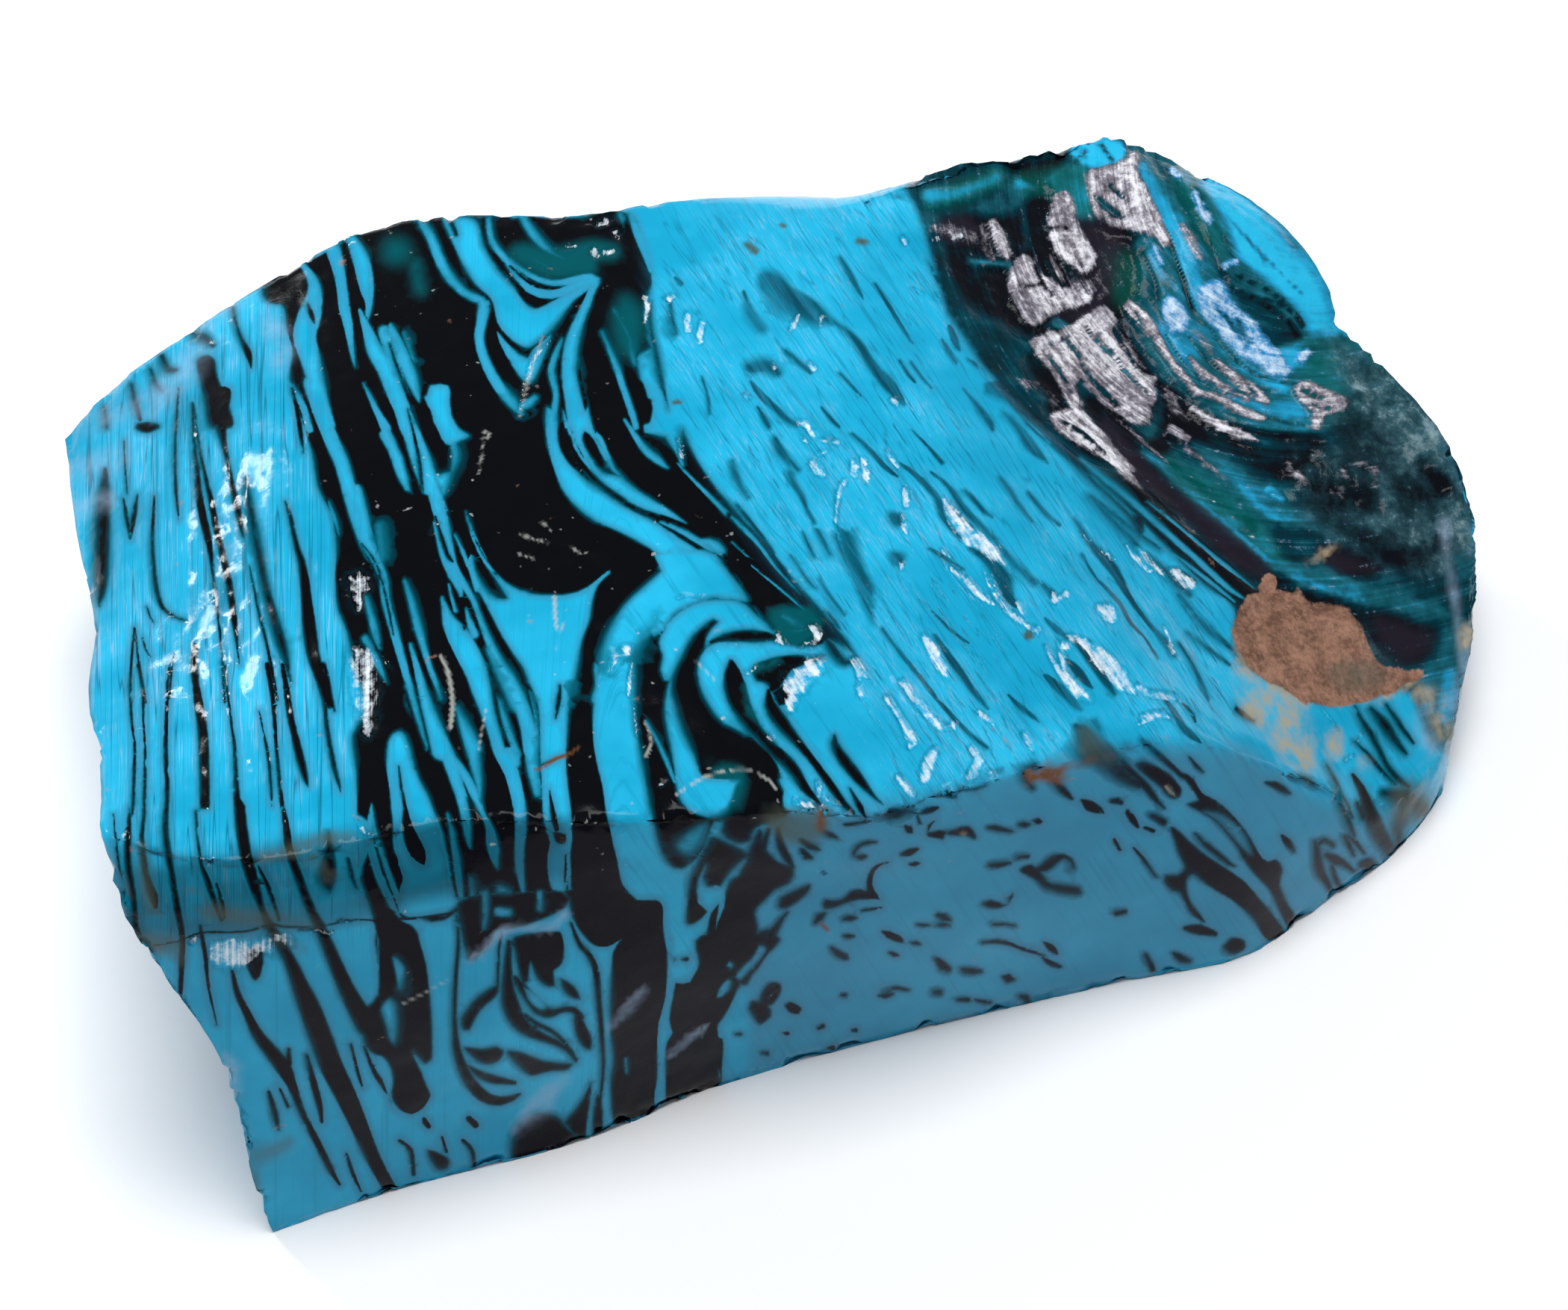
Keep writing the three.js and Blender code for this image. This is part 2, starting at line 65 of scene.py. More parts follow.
# Each traced mark is a kind, an edge softness in pixels and its points. A plain kind is a ribbon
# with points x,y,width; a kind ending in _patch is a closed outline with points x,y. Later marks
# lie over earlier ones.
MARBLING = (
    ("whole", """
dark_patch 2 352,386 378,362 404,353 440,336 466,319 520,300 563,290 640,289 700,288 764,296 800,283 830,282
  850,300 864,345 872,400 868,440 874,480 880,520 885,560 905,600 921,629 968,682 1021,729 1075,789 1135,860
  1170,930 1120,960 1090,1000 1060,1085 1010,1110 1000,1160 1003,1230 960,1330 955,1420 960,1455 900,1477
  830,1505 800,1519 750,1534 700,1552 660,1540 655,1500 660,1470 700,1440 730,1400 690,1380 640,1360
  600,1360 560,1380 520,1370 500,1340 502,1310 504,1248 490,1200 480,1172 473,1138 478,1097 478,1062
  477,1028 473,1000 473,983 487,959 490,935 477,899 470,868 463,840 452,813 449,768 451,744 449,713 442,685
  428,657 423,637 418,606 404,561 392,530 388,500 392,470 384,440 380,410 360,405
"""),
    ("a1", """
light 2 1000,590,20 1040,650,40 1050,710,60 1030,790,90 1010,870,90 1030,950,80 1055,1050,66 1080,1150,60
  1100,1220,60
dark 3 1022,745,8 1036,785,22 1048,820,6
light 2 1120,530,60 1140,600,50 1155,680,42 1165,760,44 1180,830,36 1190,900,24 1200,960,14 1206,990,4
light 2 1190,490,40 1225,560,64 1245,640,64 1255,700,50 1262,740,30 1255,790,20
light 2 1225,770,14 1255,850,40 1285,930,64 1325,1000,66 1360,1090,64 1390,1160,62 1410,1230,60
light 2 1345,830,20 1375,900,40 1400,970,52 1425,1030,50 1445,1090,30 1455,1125,8
light 2 1240,1055,8 1270,1120,18 1300,1180,28 1330,1230,34
dark 1.5 1300,820,6 1330,890,14 1365,970,16 1400,1050,14 1430,1120,12
dark_patch 4 590,965 630,945 660,960 672,1030 700,1100 722,1160 730,1225 640,1225 622,1140 604,1050
dark 3 730,755,8 745,830,12 765,885,16 790,935,28 800,975,14 802,995,5
dark 4 455,950,20 478,1000,26 510,1004,14
dark 4 412,1000,10 430,1055,14 452,1082,6
dark 4 338,1060,14 352,1130,20 370,1195,14
dark 4 232,1150,10 240,1225,12
dark 5 585,868,14 620,880,36 652,905,20
"""),
    ("b1", """
dark 4 235,315,16 230,420,46 224,520,60 222,640,58 220,740,52 216,800,34 212,850,6
dark 5 368,150,30 400,152,44 436,148,20
dark 2 306,430,6 318,500,16 331,585,6
dark 2 360,415,6 346,500,22 333,585,6
dark 2 426,420,8 422,500,12 418,600,14 424,700,16 434,780,18 456,850,16 500,885,10 562,906,4
dark 1.5 398,850,5 410,890,6 424,912,3
dark 2 308,205,5 312,300,7 322,410,5
dark 2 520,0,8 514,100,10 508,200,10 507,300,10 510,400,12 522,510,6
dark 1.5 348,930,8 340,1020,10 334,1120,10 333,1220,10
dark 1.5 352,930,5 362,1040,9 378,1140,12 392,1220,10
dark 1.5 380,970,5 395,1020,8 412,1045,3
dark 1.5 500,1040,6 492,1110,8 484,1220,8
dark_patch 2 615,0 720,0 716,80 706,180 716,270 740,380 760,450 772,530 776,590 760,560 742,490 726,420
  712,330 696,260 680,200 664,160 640,90
dark 2 575,60,12 580,200,12 592,320,20 600,420,28 622,530,32 640,610,24 652,700,14 665,800,12 676,900,12
  686,1000,9 700,1220,9
dark 2 578,60,8 602,240,11 624,340,15 645,430,22 666,540,26 692,650,26 716,760,28 734,880,26 746,980,12
  756,1070,4
dark 6 782,350,8 796,450,26 815,560,34 840,680,32 860,780,32 892,900,38 922,1000,40 944,1080,18 958,1150,5
dark 2 796,690,4 812,770,9 832,870,11 860,980,11 885,1100,12 906,1220,10
dark 1.5 935,440,5 955,500,16 976,600,20 1000,680,30 1012,760,38 1020,840,44 1030,940,54 1045,1040,50
  1072,1120,46 1105,1225,42
light 2 950,-20,20 1000,60,26 1030,160,28
dark 2 962,0,12 982,90,16 996,180,18 1006,250,4
dark 1.5 585,1000,20 580,1080,26 586,1160,24 590,1220,22
light 2 1035,-20,60 1075,100,58 1115,200,58 1158,300,58 1190,420,56 1224,540,50 1262,630,50 1300,710,38
  1326,800,38 1350,880,40 1376,980,46 1402,1080,50 1430,1200,48
light 2 1245,-10,8 1280,60,18 1310,130,28 1342,200,38 1372,280,42 1392,345,36 1410,390,20 1420,415,3
light 2 1360,-10,40 1392,80,52 1420,150,60 1450,250,60 1480,360,52 1512,450,52 1540,540,52 1568,640,52
light 2 1104,440,5 1120,490,18 1134,530,14 1143,570,3
light 4 1246,820,4 1262,870,18 1280,950,20 1302,1010,8
light 3 1238,968,5 1262,1005,24 1290,1060,30 1312,1110,18 1326,1140,4
"""),
    ("c1", """
dark 1.5 335,0,8 331,80,11 334,150,11 338,220,10 350,320,10 348,400,13 345,500,13 340,580,12 325,660,16
  320,720,20 322,800,18 325,880,20 335,950,20 345,1010,16 356,1065,6
dark 1.5 360,0,10 375,60,13 382,120,11 384,220,9 390,320,9 390,400,11 388,500,13 384,580,13 376,650,16
  370,700,22
dark 1.5 485,0,8 478,60,11 475,150,13 472,240,15 470,330,17 473,400,19 476,480,19 474,560,17 470,640,17
  470,720,19 482,790,18 495,850,19 510,920,19 520,980,21 526,1050,19 530,1120,19 528,1220,18
dark 1.5 585,0,20 590,80,26 600,160,36 612,240,38 618,320,40 620,400,40 622,480,40 622,560,38 620,640,34
  622,700,28 628,780,14 640,850,12 656,920,11 668,985,5
dark 1.5 700,0,9 708,80,9 716,150,9 728,240,11 738,320,13 742,400,15 745,480,22 750,560,30 755,640,36
  768,720,46 785,780,58 810,850,58 835,910,46 855,960,32 872,1010,22 885,1065,12
dark 1.5 865,0,20 880,80,20 890,160,17 895,240,15 900,320,14 908,400,14 915,480,15 925,560,18 935,640,22
  945,700,28 975,780,32 1010,850,36 1040,920,38 1065,980,40 1085,1040,42 1115,1110,46 1145,1180,46
  1175,1240,46
dark 1.5 925,0,16 935,60,20 945,130,26 955,200,26 970,270,28 985,330,32 1000,390,32 1014,440,22 1024,475,4
dark 1.5 1058,0,44 1070,50,36 1080,100,28 1090,160,17 1096,240,17 1110,320,19 1126,400,19 1140,450,15
  1152,495,4
dark 1.5 1085,0,20 1100,60,18 1112,120,16 1128,180,6
dark 1.5 834,180,5 850,260,8 866,340,11 876,420,13 881,500,10 883,550,4
light_patch 2 1335,300 1360,262 1395,262 1418,310 1440,400 1472,480 1510,560 1542,640 1560,720 1575,800
  1575,960 1500,975 1420,985 1390,960 1385,900 1400,850 1384,800 1370,730 1358,640 1348,560 1340,480
  1328,390
dark 1.5 1376,395,4 1385,480,9 1398,540,14 1410,600,44 1430,660,62 1450,710,60 1470,750,40 1482,778,8
light 2 1270,540,4 1268,590,22 1262,650,26 1272,720,30 1288,780,32 1308,840,30 1335,900,28 1360,950,18
  1384,985,6
light 2 1272,560,6 1282,640,14 1300,700,16 1326,780,18 1350,850,20 1374,910,18 1395,960,16
dark 1.5 1282,690,6 1300,760,10 1325,830,12 1345,885,5
light 3 1350,1000,10 1440,1010,60 1500,1060,100 1540,1160,120 1560,1260,120
"""),
    ("a2", """
light_patch 3 100,420 150,445 195,520 235,600 290,680 340,722 395,730 385,770 372,820 385,900 420,980
  470,1050 520,1120 575,1100 570,1150 520,1190 500,1190 470,1130 410,1050 360,970 335,890 335,820 345,770
  330,735 270,700 210,640 170,560 145,490 110,440
light 2 490,395,40 540,440,50 580,490,44 620,535,40 660,560,20
light_patch 3 700,655 750,640 810,640 832,662 820,700 790,740 760,790 740,850 735,930 745,1010 760,1090
  775,1160 785,1230 705,1230 695,1160 685,1080 670,1010 665,930 680,860 700,800 740,740 780,690 740,680
  700,700
light_patch 3 735,720 700,800 665,880 650,950 645,1020 662,1090 655,1160 660,1230 620,1230 615,1150 625,1080
  612,1010 620,930 650,860 690,790
light_patch 2 180,1080 225,1065 238,1110 245,1170 260,1230 190,1230 165,1160 140,1110
light 6 60,860,10 100,960,20
light 3 10,840,30 45,920,44 75,990,44 100,1050,30 112,1090,6
light 3 -20,850,40 15,960,54 40,1060,54 60,1150,60 80,1230,64
dark 1.5 5,900,8 30,980,12 60,1060,14 90,1140,16 110,1220,16
light_patch 4 960,375 1000,352 1110,335 1300,330 1600,380 1700,500 1700,1260 1050,1260 1010,1180 990,1100
  975,1000 1000,920 1010,850 990,800 1000,730 1020,680 1030,620 1010,540 985,460
light 5 900,395,16 945,470,26 985,540,26 1015,610,24
dark 5 880,440,30 940,540,40 980,620,50 1000,700,30
dark 4 1015,740,10 1020,840,16 1040,930,18 1056,1020,20 1075,1110,16 1086,1160,5
dark 5 1115,700,8 1100,780,12 1110,860,6
light 5 940,900,20 990,960,50 1010,1060,60 1020,1150,50
"""),
    ("b2", """
light 2 -20,180,30 20,240,42 45,310,44 68,370,28 85,410,4
light 2 20,-20,50 60,100,60 100,200,70 135,300,80 160,370,70 190,460,70 215,540,70 240,620,60 262,700,50
  285,790,30 292,830,4
dark 2 75,80,6 100,180,10 120,280,14 130,370,12 138,410,3
light_patch 2 160,-10 235,-10 240,70 252,120 280,160 320,184 280,205 240,222 212,205 190,150 172,90 160,40
light_patch 4 165,330 200,335 245,325 235,380 215,420 195,385
light 4 250,200,20 262,260,30 250,320,10
light 1.5 300,480,4 330,560,8 370,650,12 400,710,14
light_patch 2 310,650 345,700 380,730 400,700 440,740 500,780 560,798 630,803 700,800 760,780 810,745
  862,706 850,770 820,840 780,910 752,990 738,1080 722,1160 712,1230 590,1230 560,1170 510,1080 460,1000
  410,930 370,850 345,780 322,720
light 3 0,730,30 25,850,34 45,960,36 66,1060,40 86,1160,46 98,1230,46
light_patch 3 640,-20 662,-20 652,60 655,120 660,200 680,260 720,310 790,370 870,420 950,470 1040,520
  1120,575 1200,625 1270,680 1305,740 1290,790 1240,815 1180,830 1130,850 1080,900 1030,950 990,1000
  965,1080 950,1160 945,1230 800,1230 800,1170 830,1100 880,1030 930,960 990,900 1060,830 1105,760 1095,700
  1040,640 960,590 880,550 800,515 730,460 680,400 650,330 625,250 612,170 612,90 625,30
dark_patch 14 900,640 1000,640 1090,690 1105,740 1080,800 1000,870 930,940 860,1030 820,1100 790,1160
  770,1230 700,1230 740,1100 790,940 850,800
light 3 700,-20,70 730,60,84 750,140,84 780,220,80 830,300,84 880,360,70 940,410,60 1010,450,50 1080,480,30
  1160,525,4
dark_patch 3 765,165 800,200 830,260 870,320 905,345 880,335 840,330 800,290 770,240 755,200
light 2 780,155,4 820,190,20 845,240,16 870,290,10 900,335,4
light 2 680,90,6 705,180,26 735,260,30 790,330,30 850,390,24 900,420,8
dark 2 690,160,10 720,250,22 770,320,26 830,380,26 900,430,26 960,470,20 1010,500,8
light 4 1060,520,10 1130,550,20 1200,590,24 1260,630,20
light 4 1200,590,10 1270,610,40 1320,690,50 1370,760,40 1390,800,20
light 8 1440,860,30 1510,900,60 1580,960,60
light 3 900,90,4 950,170,20 1000,240,30 1050,280,30 1085,310,10
light 4 1020,-20,60 1060,80,60 1100,170,60 1140,240,50 1150,290,30
dark_patch 4 1148,160 1175,230 1220,310 1280,395 1330,450 1380,510 1440,580 1500,645 1568,725 1600,800
  1500,760 1400,650 1300,530 1200,400 1160,330 1145,270 1140,200
light_patch 3 1140,-20 1600,-20 1600,700 1540,690 1470,600 1400,520 1330,440 1270,370 1210,290 1170,210
  1145,150
light 2 1120,290,6 1200,370,14 1290,460,18 1370,540,24 1440,630,30 1500,700,26 1575,770,20
dark 3 1350,455,4 1390,500,12 1440,560,16 1500,640,10
"""),
    ("c2", """
light 2 60,-20,44 90,60,40 115,150,34 132,240,22 148,330,4
light 2 130,-20,44 170,120,60 200,240,60 235,360,56 262,440,50 285,520,40 302,600,34 312,680,18 318,712,4
light 5 275,170,6 300,260,36 325,330,46 345,420,34 355,490,20 350,560,10
light 2 245,340,8 280,400,30 315,460,36 345,530,30 375,590,20 395,640,30 405,700,44 415,760,26 425,790,6
light 2 300,-20,60 345,60,70 380,160,66 410,260,60 445,350,60 480,420,56 500,500,52 512,560,50 515,640,42
  510,720,36 512,800,32 525,880,16 530,945,4
light 4 430,130,5 450,220,20 470,310,40 490,380,50
light 10 545,120,30 560,240,50 560,380,50 580,500,30
light_patch 2 560,-20 725,-20 712,80 702,180 696,280 692,380 700,480 712,580 712,640 680,660 640,655 612,630
  600,560 598,480 592,380 590,280 585,180 570,80
dark 1.5 668,80,8 664,130,18 656,180,14 652,210,4
dark 1.5 628,490,5 636,550,16 645,600,24 655,640,20
light_patch 2 612,640 650,660 712,640 708,740 700,820 690,880 668,915 640,880 622,820 620,740 630,690
dark_patch 4 640,650 690,660 690,690 670,700 650,690
dark 1.5 690,740,8 690,800,10 685,850,4
light 2 700,640,20 702,740,14 705,840,12 708,920,12 715,1000,14
dark 3 585,395,4 640,372,8 690,350,4
light_patch 2 810,-20 940,-20 950,80 955,200 975,300 985,400 1000,500 1030,600 1045,660 1070,740 1100,780
  1140,792 1190,760 1230,700 1250,640 1275,600 1290,560 1310,590 1300,650 1330,680 1380,690 1430,670
  1465,630 1480,600 1470,660 1440,710 1400,760 1370,830 1320,900 1260,960 1240,1040 1220,1100 1225,1160
  1190,1230 1090,1230 1085,1150 1080,1060 1070,960 1040,910 980,915 930,880 905,840 890,760 870,680 858,600
  845,520 820,420 800,320 795,200 805,100
light_patch 8 1120,700 1180,640 1240,620 1230,690 1180,740 1140,730
dark_patch 3 1160,1000 1165,920 1175,840 1200,780 1240,700 1260,670 1310,690 1330,700 1400,740 1370,760
  1310,830 1290,860 1240,860 1225,800 1205,850 1210,930 1240,960 1200,1000 1170,1010
light 2 1275,870,30 1300,930,30 1285,1000,20 1280,1060,5
light 2 1235,780,4 1212,850,24 1215,920,26
light_patch 2 100,1010 200,1000 280,960 285,1040 300,1100 312,1160 330,1180 320,1230 150,1230 135,1130
dark_patch 1.5 1395,770 1440,760 1500,770 1480,810 1440,860 1400,940 1350,1000 1320,1080 1280,1130 1230,1160
  1260,1060 1300,960 1340,870
light 2 230,580,6 245,640,16 255,700,20 265,760,26 275,840,24 285,920,20
light_patch 2 20,700 30,560 60,480 100,450 140,480 175,560 205,660 230,780 262,900 280,935 200,970 90,975
  40,960 45,880 60,820 40,760
dark 1.5 42,395,4 52,480,10 66,560,16 72,620,40 90,680,60 115,730,60 135,770,20 140,778,5
light 4 365,890,20 380,960,40 375,1020,20
light 5 430,860,10 450,900,60 440,960,80 410,970,20
light 4 320,830,4 328,900,20 322,960,14
"""),
    ("a3", """
dark 5 598,340,8 628,392,30 655,442,28 684,482,10
dark 4 650,335,10 672,382,24 694,445,10
dark 3 740,560,4 770,600,12 800,650,14 836,702,6
dark 3 920,958,6 945,982,16 966,1008,5
dark 3 972,1165,6 996,1192,16 1016,1218,5
dark_patch 2 688,300 735,265 782,236 860,215 930,190 1010,188 1080,190 1150,180 1230,140 1310,120 1390,95
  1440,92 1600,130 1600,1230 1185,1230 1140,1180 1105,1130 1075,1070 1040,1020 1000,960 950,890 895,810
  860,750 832,690 826,640 822,590 805,540 780,470 745,410 715,350
"""),
    ("b3", """
dark 3 222,340,6 250,372,20 268,402,14 292,452,10 312,494,12 332,545,16 356,592,14 382,645,5
dark_patch 2 -20,480 30,505 80,545 130,595 170,650 205,700 255,770 300,825 350,870 400,925 440,985 455,1020
  410,1000 370,960 345,930 330,890 300,940 240,965 190,965 150,920 100,865 55,815 40,765 0,715 -20,710
light 2 0,500,10 45,545,18 90,590,16 130,640,14 165,690,10 215,745,8 262,800,4
light 1.5 0,598,4 100,690,7 200,780,8 292,862,4
light 8 200,910,60 260,930,50 320,900,16
dark 3 440,985,24 450,1030,26 445,1068,8
dark 2 20,450,4 60,500,12 104,552,5
dark 2 228,648,4 265,702,10 300,752,10 330,780,4
dark 2 338,738,4 370,790,8 402,834,8 440,882,5
dark 3 275,555,4 300,612,10 320,655,4
dark 3 1390,420,4 1442,472,10 1502,532,12 1575,605,12
dark 3 402,570,3 430,642,6 462,702,6 490,772,10 530,852,8 572,922,10 612,992,10 662,1052,10 722,1112,12
  792,1192,12 840,1240,8
dark 16 440,500,14 455,600,26 490,700,34 540,800,34 590,880,20
dark_patch 3 982,-20 1600,-20 1600,560 1540,500 1470,430 1400,365 1330,300 1260,240 1200,190 1160,150
  1120,105 1070,50
dark 4 1080,110,8 1130,170,30 1170,230,40 1215,275,14
dark 4 1060,95,4 1150,210,8 1230,290,5
light 3 1120,100,4 1190,165,10 1240,215,5
light 3 1400,340,4 1470,400,16 1560,480,24
"""),
    ("c3", """
dark_patch 2 110,640 60,755 62,820 -20,870 -20,1240 20,1240 40,1180 75,1130 92,1080 100,1030 88,960 105,935
  140,900 168,872 225,845 238,790 180,770 140,730 120,690
dark 1.5 180,640,14 190,700,26 215,750,26 238,788,10
dark 1.5 145,640,8 130,680,20 115,730,30
dark 1.5 266,678,8 300,702,24 338,718,6
dark 1.5 272,718,8 290,742,26 312,752,5
dark 1.5 358,648,5 385,662,16 412,674,4
dark_patch 1.5 184,942 198,905 250,880 302,857 290,890 250,922 210,947
dark_patch 1.5 218,962 195,1000 172,1050 145,1100 110,1155 75,1210 62,1240 30,1240 65,1175 100,1110 128,1062
  95,1068 98,1040 150,1030 182,995
dark 2 440,622,6 490,618,12 540,608,4
dark 2 472,742,3 490,708,8 530,690,8 562,690,3
dark 2 488,748,8 505,748,18 524,745,6
dark 1.5 608,768,3 562,785,10 540,822,18 536,862,20 548,892,26 578,912,6
dark_patch 1.5 358,942 366,914 400,922 440,908 462,882 500,875 545,892 562,912 505,910 440,926 392,945
dark 2 662,738,8 690,730,26 724,716,8
dark 2 692,776,8 712,775,18 730,772,6
dark 2 326,1002,8 342,982,26 360,968,8
dark 2 438,990,6 460,985,20 484,985,6
dark 2 438,1055,6 455,1055,16 474,1055,5
dark 1.5 388,1100,5 410,1120,20 440,1136,22 450,1142,6
dark 1.5 588,1038,8 612,1050,26 650,1066,24 664,1078,6
dark 2 614,1120,6 630,1126,16 648,1130,5
dark 2 698,1078,5 715,1082,14 732,1086,4
dark 2 792,1142,8 815,1160,24 842,1188,12
dark 2 898,1190,8 930,1192,18 968,1190,5
dark 2 798,972,8 825,982,26 848,992,6
dark 2 800,1010,4 825,1012,12 848,1014,3
dark 2 722,1010,3 745,1012,8 768,1014,3
dark 2 508,956,4 545,950,8 584,944,3
dark 2 982,930,8 1002,930,26 1034,935,20 1058,935,6
dark 2 1068,932,6 1080,908,14 1098,890,4
dark 2.5 998,780,5 1032,780,18 1084,770,5
dark 3 1108,750,6 1152,745,10
dark 2 738,576,6 770,566,24 804,555,6
dark 2 722,588,4 732,614,10
dark_patch 1.5 758,655 790,650 800,644 832,650 822,676 790,670 764,668
dark 1.5 765,650,4 768,625,8 788,608,3
dark_patch 1.5 838,656 870,640 922,630 948,665 945,677 910,660 880,662
dark 1.5 676,628,8 690,642,26 702,652,5
dark 2 998,632,6 1032,636,18 1088,648,4
dark 2 1122,622,8 1140,622,20 1162,622,6
dark 2 1176,606,6 1192,608,22 1208,612,5
dark 2 1368,530,10 1390,550,36 1418,568,8
dark 2 1418,545,6 1430,560,16 1448,578,4
dark 2 1478,530,12 1502,530,22
dark 2 1540,570,12 1558,600,26 1580,632,10
dark 2 1488,678,6 1500,700,14 1514,722,4
dark 3 1128,800,12 1160,800,42 1192,822,30 1222,856,20 1272,870,24 1342,880,26 1354,886,6
dark 4 1180,800,12 1222,785,32 1252,760,32 1292,745,14 1322,762,8 1330,790,3
dark 2.5 978,1080,5 1022,1075,14 1082,1085,12 1132,1105,12 1182,1120,8 1214,1132,3
dark 2.5 1214,1080,5 1240,1102,20 1264,1124,5
dark 3 1018,1010,4 1060,1010,8 1102,1016,3
dark 2.5 1218,1150,5 1246,1166,14 1278,1172,4
dark 2 748,480,6 790,492,24 832,506,20 874,516,4
dark 2 850,492,2 940,486,5 1002,460,3
dark 2 1255,455,6 1288,488,26 1324,522,6
dark 3 1145,400,6 1180,392,16 1140,430,10 1170,480,6
dark_patch 5 1350,242 1402,270 1452,320 1502,380 1542,420 1590,450 1590,480 1500,440 1450,382 1400,322
dark 10 1360,330,30 1440,360,50 1520,410,30
dark 3 690,-20,10 762,82,14 822,152,14 872,212,12 932,272,12 982,342,10 1045,405,4
dark 3 1398,180,5 1428,245,8
dark 12 560,560,20 620,580,40 680,570,20
"""),
    ("b4", """
dark_patch 3 -20,-30 1300,-30 1400,100 1480,230 1540,340 1560,450 1550,600 1560,750 1560,950 1540,1000
  1500,1230 1440,1230 1420,1100 1330,1100 1300,1130 1180,1190 1050,1215 940,1220 700,1100 640,1060 620,980
  625,880 600,830 500,760 400,660 300,560 200,460 100,370 30,290 -20,240
light 3 20,270,10 100,340,24 200,420,26 300,510,24 400,600,24 500,690,24 600,780,20 660,820,6
light 2 330,470,4 430,560,12 540,650,12 640,730,12 700,780,6
light 2 280,440,4 380,520,10 480,600,12 580,690,12 680,760,6
light 2 380,640,6 470,710,14 560,780,14 620,830,8
light_patch 4 620,1100 700,1110 800,1160 940,1225 900,1300 620,1300
dark 3 318,678,6 382,742,20 444,804,14
dark 3 400,800,6 442,852,14 484,904,8
dark 3 498,898,6 562,972,14 622,1032,12
dark 3 60,418,5 142,482,12 242,562,12 335,625,6
"""),
    ("c4", """
dark 3 -20,90,14 30,172,14 72,222,10 96,264,4
dark 3 348,138,6 390,192,32 412,242,38 442,282,24 482,302,5
dark 4 545,60,4 600,145,12 650,190,22 695,218,8
dark_patch 6 15,238 62,248 122,308 172,368 60,375 15,335
dark 1.5 172,366,6 200,402,26 242,442,26 282,482,26 312,522,18 348,560,3
dark_patch 1.5 238,388 280,380 332,406 382,442 414,492 402,517 368,515 328,470 278,432
light 2 350,470,4 372,495,14 392,508,6
dark 2 258,288,4 302,332,12 352,377,14 392,412,14 420,438,12
dark_patch 1.5 412,424 452,436 492,498 545,528 604,578 662,648 704,718 742,768 782,758 804,800 792,850
  824,930 862,985 880,1020 840,1030 800,965 768,892 738,852 698,812 648,742 632,712 596,662 540,602 472,562
  438,542 482,528 448,472
light 5 500,570,10 570,600,40 640,670,50 680,730,20
dark_patch 1.5 372,632 402,648 442,688 502,738 562,778 622,818 664,850 704,898 764,968 812,1040 790,1080
  740,1062 698,992 658,952 608,912 558,882 498,842 462,812 432,832 432,882 452,932 494,982 506,1004 458,972
  428,922 408,882 378,877 348,842 354,820 400,820 430,790 408,742 394,702
dark 2 468,658,4 512,702,14 562,742,16 604,777,10 620,784,3
dark 2 742,458,6 780,468,26 816,490,18 834,500,4
dark 2 802,662,5 825,690,28 850,724,5
dark 2 198,572,8 218,592,26 238,618,6
dark 2 28,528,10 60,550,40 92,574,10
dark 2 142,530,12 178,535,16
dark 2 272,634,10 304,646,14
dark 6 300,588,14 342,612,26
dark 3 150,682,5 172,718,10
dark 2 228,712,5 262,752,12 292,792,6 314,824,3
dark 3 443,358,4 470,392,10 498,418,3
dark 3 428,1025,14 482,1030,38 545,1046,16
dark_patch 3 578,1096 610,1064 650,1070 660,1100 622,1124 590,1116
dark 3 384,1122,8 412,1142,26 444,1152,8
dark 5 275,1128,8 302,1185,20
dark 6 160,968,14 194,960,14
dark 2 934,688,8 944,750,26 952,802,30 982,852,20 1004,895,5
dark 2 944,702,6 970,682,12 1002,702,12
dark 2 978,740,14 1012,758,34 1044,772,20 1086,804,5
dark 2 1000,782,10 1012,832,14 1044,884,6
dark 2 1048,668,6 1066,702,16 1084,744,5
dark 2 1062,668,6 1092,692,14 1124,734,5
dark 2 1118,775,24 1140,778,50 1160,782,20
dark 3 1018,478,6 1032,542,14 1062,602,16 1086,668,6
dark 3 1022,490,6 1052,532,12 1080,596,8
dark 3 1080,428,14 1112,482,32 1132,532,42 1152,592,62 1182,652,58 1222,712,46 1262,764,30
dark 4 1098,540,20 1122,592,30
dark 6 1290,500,30 1275,580,44 1252,640,34 1262,705,30
dark 8 1200,500,30 1280,520,60 1350,560,50
dark 4 1088,158,6 1112,212,16 1152,272,24 1182,332,20 1212,392,20 1252,442,24 1296,474,10
dark 4 1150,170,14 1202,232,42 1242,292,30 1286,346,14
dark 4 1210,155,10 1262,232,20 1316,304,10
dark 4 1088,298,4 1142,352,14 1192,412,16 1246,464,10
dark 3 978,388,4 1012,452,14 1034,495,6
dark 4 860,430,5 900,445,20 935,468,5
"""),
    ("d1", """
dark_patch 1.5 1085,-20 1128,-20 1158,80 1198,180 1240,248 1290,218 1302,150 1290,60 1288,-20 1462,-20
  1492,80 1497,250 1506,470 1460,456 1410,402 1440,470 1480,560 1502,620 1472,662 1410,672 1350,642 1340,602
  1358,570 1355,500 1330,462 1262,472 1235,432 1225,380 1222,312 1190,292 1163,200 1128,100
dark 1.5 935,30,24 975,130,50 1010,220,60 1050,330,64 1085,430,66 1130,540,76 1180,640,76 1215,730,72
  1255,830,66 1300,910,66 1345,1005,66
dark 2 523,-20,12 530,100,20 535,200,20 546,275,10
dark 8 780,850,20 850,825,30 960,775,10
"""),
